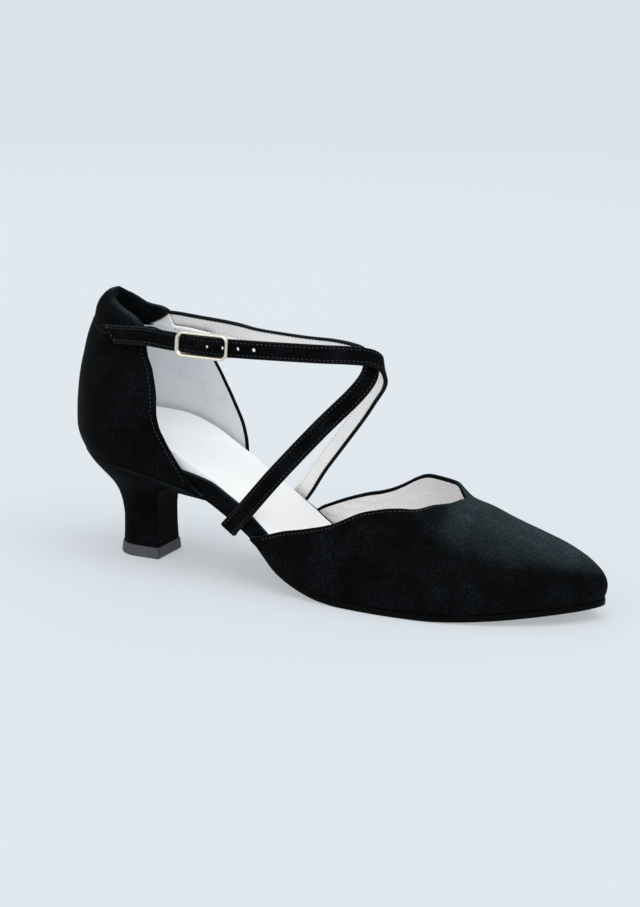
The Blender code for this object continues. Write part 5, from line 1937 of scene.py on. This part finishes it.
@dataclass
class Seams:
    """The shoe's stitching."""

    last: Last
    straps: Straps
    finishes: Looks
    quarter_inset: float = 0.0023
    vamp_inset: float = 0.0016
    vamp_ends: tuple[float, float] = (0.007, 0.001)
    base_reach: tuple[float, float] = (-0.34, 0.60)
    base_height: float = 0.975
    cross_trim: tuple[float, float] = (0.006, 0.002)
    buckle_trim: tuple[float, float] = (0.0014, 0.006)
    dash: Stitching = Stitching()
    dot: Stitching = Stitching(length=0.00050, width=0.00040, height=0.00016, spacing=0.0018, seed=3)

    def finish(self, name: str, trace: Trace, kind: Stitching, look: Finish) -> None:
        """Sew one piece's rows."""
        declare(kind.sew(name, trace, self.finishes[look]), look)

    def strap_rows(
        self, name: str, route: np.ndarray, trim: tuple[float, float], slant: float = 0.0
    ) -> None:
        """Sew a strap along both edges, with dots where the thread shows on its lining.

        Args:
            name: The strap's node.
            route: Its route.
            trim: How far the rows stop before its first and last end.
            slant: How far its first end is cut back over its width.
        """
        straps = self.straps
        piece = bpy.data.objects[f"{name}_visual"]
        along, face, across = straps.frames(route)
        reach = distance_along(route)
        half = straps.width / 2
        row = half - straps.stitch_inset
        back = straps.tail_shift if slant else 0.0
        up = face * straps.thickness / 2
        outer, inner = Trace(), Trace()
        for side in (-1, 1):
            shift = slant / straps.width * (side * row + half) - back
            keep = (reach > trim[0] + shift) & (reach < reach[-1] - trim[1])
            for trace, way in ((outer, 1), (inner, -1)):
                points = route[keep, :3] + across[keep] * side * row + up[keep] * way
                trace.lay(piece, points, face[keep] * way)
        if slant:
            ends = [
                route[0, :3]
                + across[0] * a
                + up[0]
                + along[0] * (trim[0] - back + slant / straps.width * (a + half))
                for a in np.linspace(-row, row, 12)
            ]
            outer.lay(piece, np.array(ends), np.tile(face[0], (12, 1)))
        self.finish(f"{name}_stitches", outer, self.dash, Finish.THREAD)
        self.finish(f"{name}_lining_stitches", inner, self.dot, Finish.PINHOLE)

    def upper_rows(self) -> None:
        """Sew the vamp's topline, the quarter's front edges and the collar's base."""
        last = self.last
        vamp = bpy.data.objects["vamp_visual"]
        trace = Trace()
        for side in (-1, 1):
            points = []
            first, final = last.wing(side) + self.vamp_ends[0], last.throat - self.vamp_ends[1]
            for x in np.linspace(first, final, 90):
                rib = last.straight_rib(x, side, np.linspace(1, 0, 60) * last.topline(x, side))
                points.append(read_path(rib, distance_along(rib), self.vamp_inset))
            trace.lay(vamp, np.array(points))
        self.finish("vamp_stitches", trace, self.dash, Finish.THREAD)

        quarter = bpy.data.objects["quarter_visual"]
        trace = Trace()
        for side in (-1, 1):
            points = []
            for height in np.linspace(0.05, 0.93, 60):
                front = last.quarter_front(float(side), height)
                edge = last.quarter_point(front, height)[0]
                near = last.quarter_point(front - side * 0.02, height)[0]
                points.append(edge + unit(near - edge) * self.quarter_inset)
            trace.lay(quarter, np.array(points))
        girths = np.linspace(*self.base_reach, 110)
        base = [last.quarter_point(girth, self.base_height)[0] for girth in girths]
        trace.lay(quarter, np.array(base))
        self.finish("quarter_stitches", trace, self.dash, Finish.THREAD)

    def build(self) -> None:
        """Sew everything."""
        straps = self.straps
        self.strap_rows("cross_strap", straps.cross, self.cross_trim)
        self.strap_rows("buckle_strap", straps.buckle, self.buckle_trim, straps.tail_slant)
        self.upper_rows()


@dataclass
class Studio:
    """Camera, pale floor and soft light."""

    floor_finish: bpy.types.Material
    target: tuple[float, float, float] = (0.120, 0.0, 0.050)
    picture: tuple[float, float] = (640.0, 907.0)
    pixel: tuple[float, float] = (328.85, 466.13)
    focal_pixels: float = 2338.0
    distance: float = 1.0
    yaw: float = 24.15
    elevation: float = 13.99
    roll: float = 1.45
    sensor: float = 36.0
    floor_size: float = 60.0
    floor_height: float = -0.0001
    lamp_aim: tuple[float, float, float] = (0.09, 0.0, 0.05)
    sky_place: tuple[float, float, float] = (0.3, -0.25, 1.5)
    sky_way: tuple[float, float, float] = (-0.30, 0.25, -1.0)
    sky_power: float = 1.35
    sky_spread: float = 60.0
    glow: tuple[float, float, float, float] = (0.93, 0.965, 1.0, 1.0)
    glow_strength: float = 0.60

    def camera(self) -> None:
        """Set the camera at the photograph's view."""
        yaw, elevation, roll = (math.radians(a) for a in (self.yaw, self.elevation, self.roll))
        right = Vector((math.cos(yaw), math.sin(yaw), 0))
        ahead = Vector((-math.sin(yaw), math.cos(yaw), 0))
        up = Vector((0, 0, 1))
        forward = ahead * math.cos(elevation) - up * math.sin(elevation)
        above = ahead * math.sin(elevation) + up * math.cos(elevation)
        x = right * math.cos(roll) + above * math.sin(roll)
        y = above * math.cos(roll) - right * math.sin(roll)
        side, drop = (
            (at - whole / 2) / self.focal_pixels * self.distance
            for at, whole in zip(self.pixel, self.picture)
        )
        middle = Vector(self.target) - Vector(HEEL_CENTRE)
        place = middle - forward * self.distance - x * side + y * drop
        data = bpy.data.cameras.new("camera")
        data.sensor_fit = "AUTO"
        data.sensor_width = self.sensor
        data.lens = self.focal_pixels / self.picture[1] * self.sensor
        camera = add_object("camera", data)
        turn = Matrix((x, y, -forward)).transposed().to_4x4()
        camera.matrix_world = Matrix.Translation(place) @ turn
        bpy.context.scene.camera = camera

    def floor(self) -> None:
        """Lay the floor under the shoe."""
        half = self.floor_size / 2
        mesh = bpy.data.meshes.new("studio_floor")
        corners = ((-half, -half), (half, -half), (half, half), (-half, half))
        mesh.from_pydata([(x, y, self.floor_height) for x, y in corners], [], [(0, 1, 2, 3)])
        mesh.materials.append(self.floor_finish)
        floor = add_object("studio_floor", mesh)

    def lamp(
        self, name: str, place: tuple[float, float, float], size: float, power: float, colour: Colour
    ) -> None:
        """Hang a soft square lamp that looks at the shoe."""
        data = bpy.data.lights.new(name, "AREA")
        data.shape = "SQUARE"
        data.size = size
        data.energy = power
        data.color = colour
        self.hang(data, place, Vector(self.lamp_aim) - Vector(place))

    def hang(self, data: bpy.types.Light, place: tuple[float, float, float], way: Vector) -> None:
        """Put a lamp at a place, shining one way."""
        turn = way.to_track_quat("-Z", "Y").to_matrix().to_4x4()
        add_object(data.name, data).matrix_world = Matrix.Translation(place) @ turn

    def light(self) -> None:
        """Light the scene."""
        world = bpy.data.worlds.new("studio")
        world.use_nodes = True
        glow = world.node_tree.nodes["Background"]
        glow.inputs["Color"].default_value = self.glow
        glow.inputs["Strength"].default_value = self.glow_strength
        bpy.context.scene.world = world
        sky = bpy.data.lights.new("sky_panel", "SUN")
        sky.energy = self.sky_power
        sky.angle = math.radians(self.sky_spread)
        self.hang(sky, self.sky_place, Vector(self.sky_way))
        for row in LAMPS:
            self.lamp(*row)
        bpy.context.scene.view_settings.view_transform = "Standard"

    def build(self) -> None:
        """Set up the studio."""
        self.camera()
        self.floor()
        self.light()


def main() -> None:
    """Build the shoe's looks and its studio."""
    finishes = make_finishes()
    last = Last()
    Studio(finishes[Finish.FLOOR]).build()
    Sole(last, finishes).build()
    Heel(last, finishes).build()
    Upper(last, finishes).build()
    straps = Straps(last, finishes)
    straps.build()
    Buckle(straps, finishes).build()
    Seams(last, straps, finishes).build()


if __name__ == "__main__":
    logging.basicConfig(level=logging.INFO)
    main()
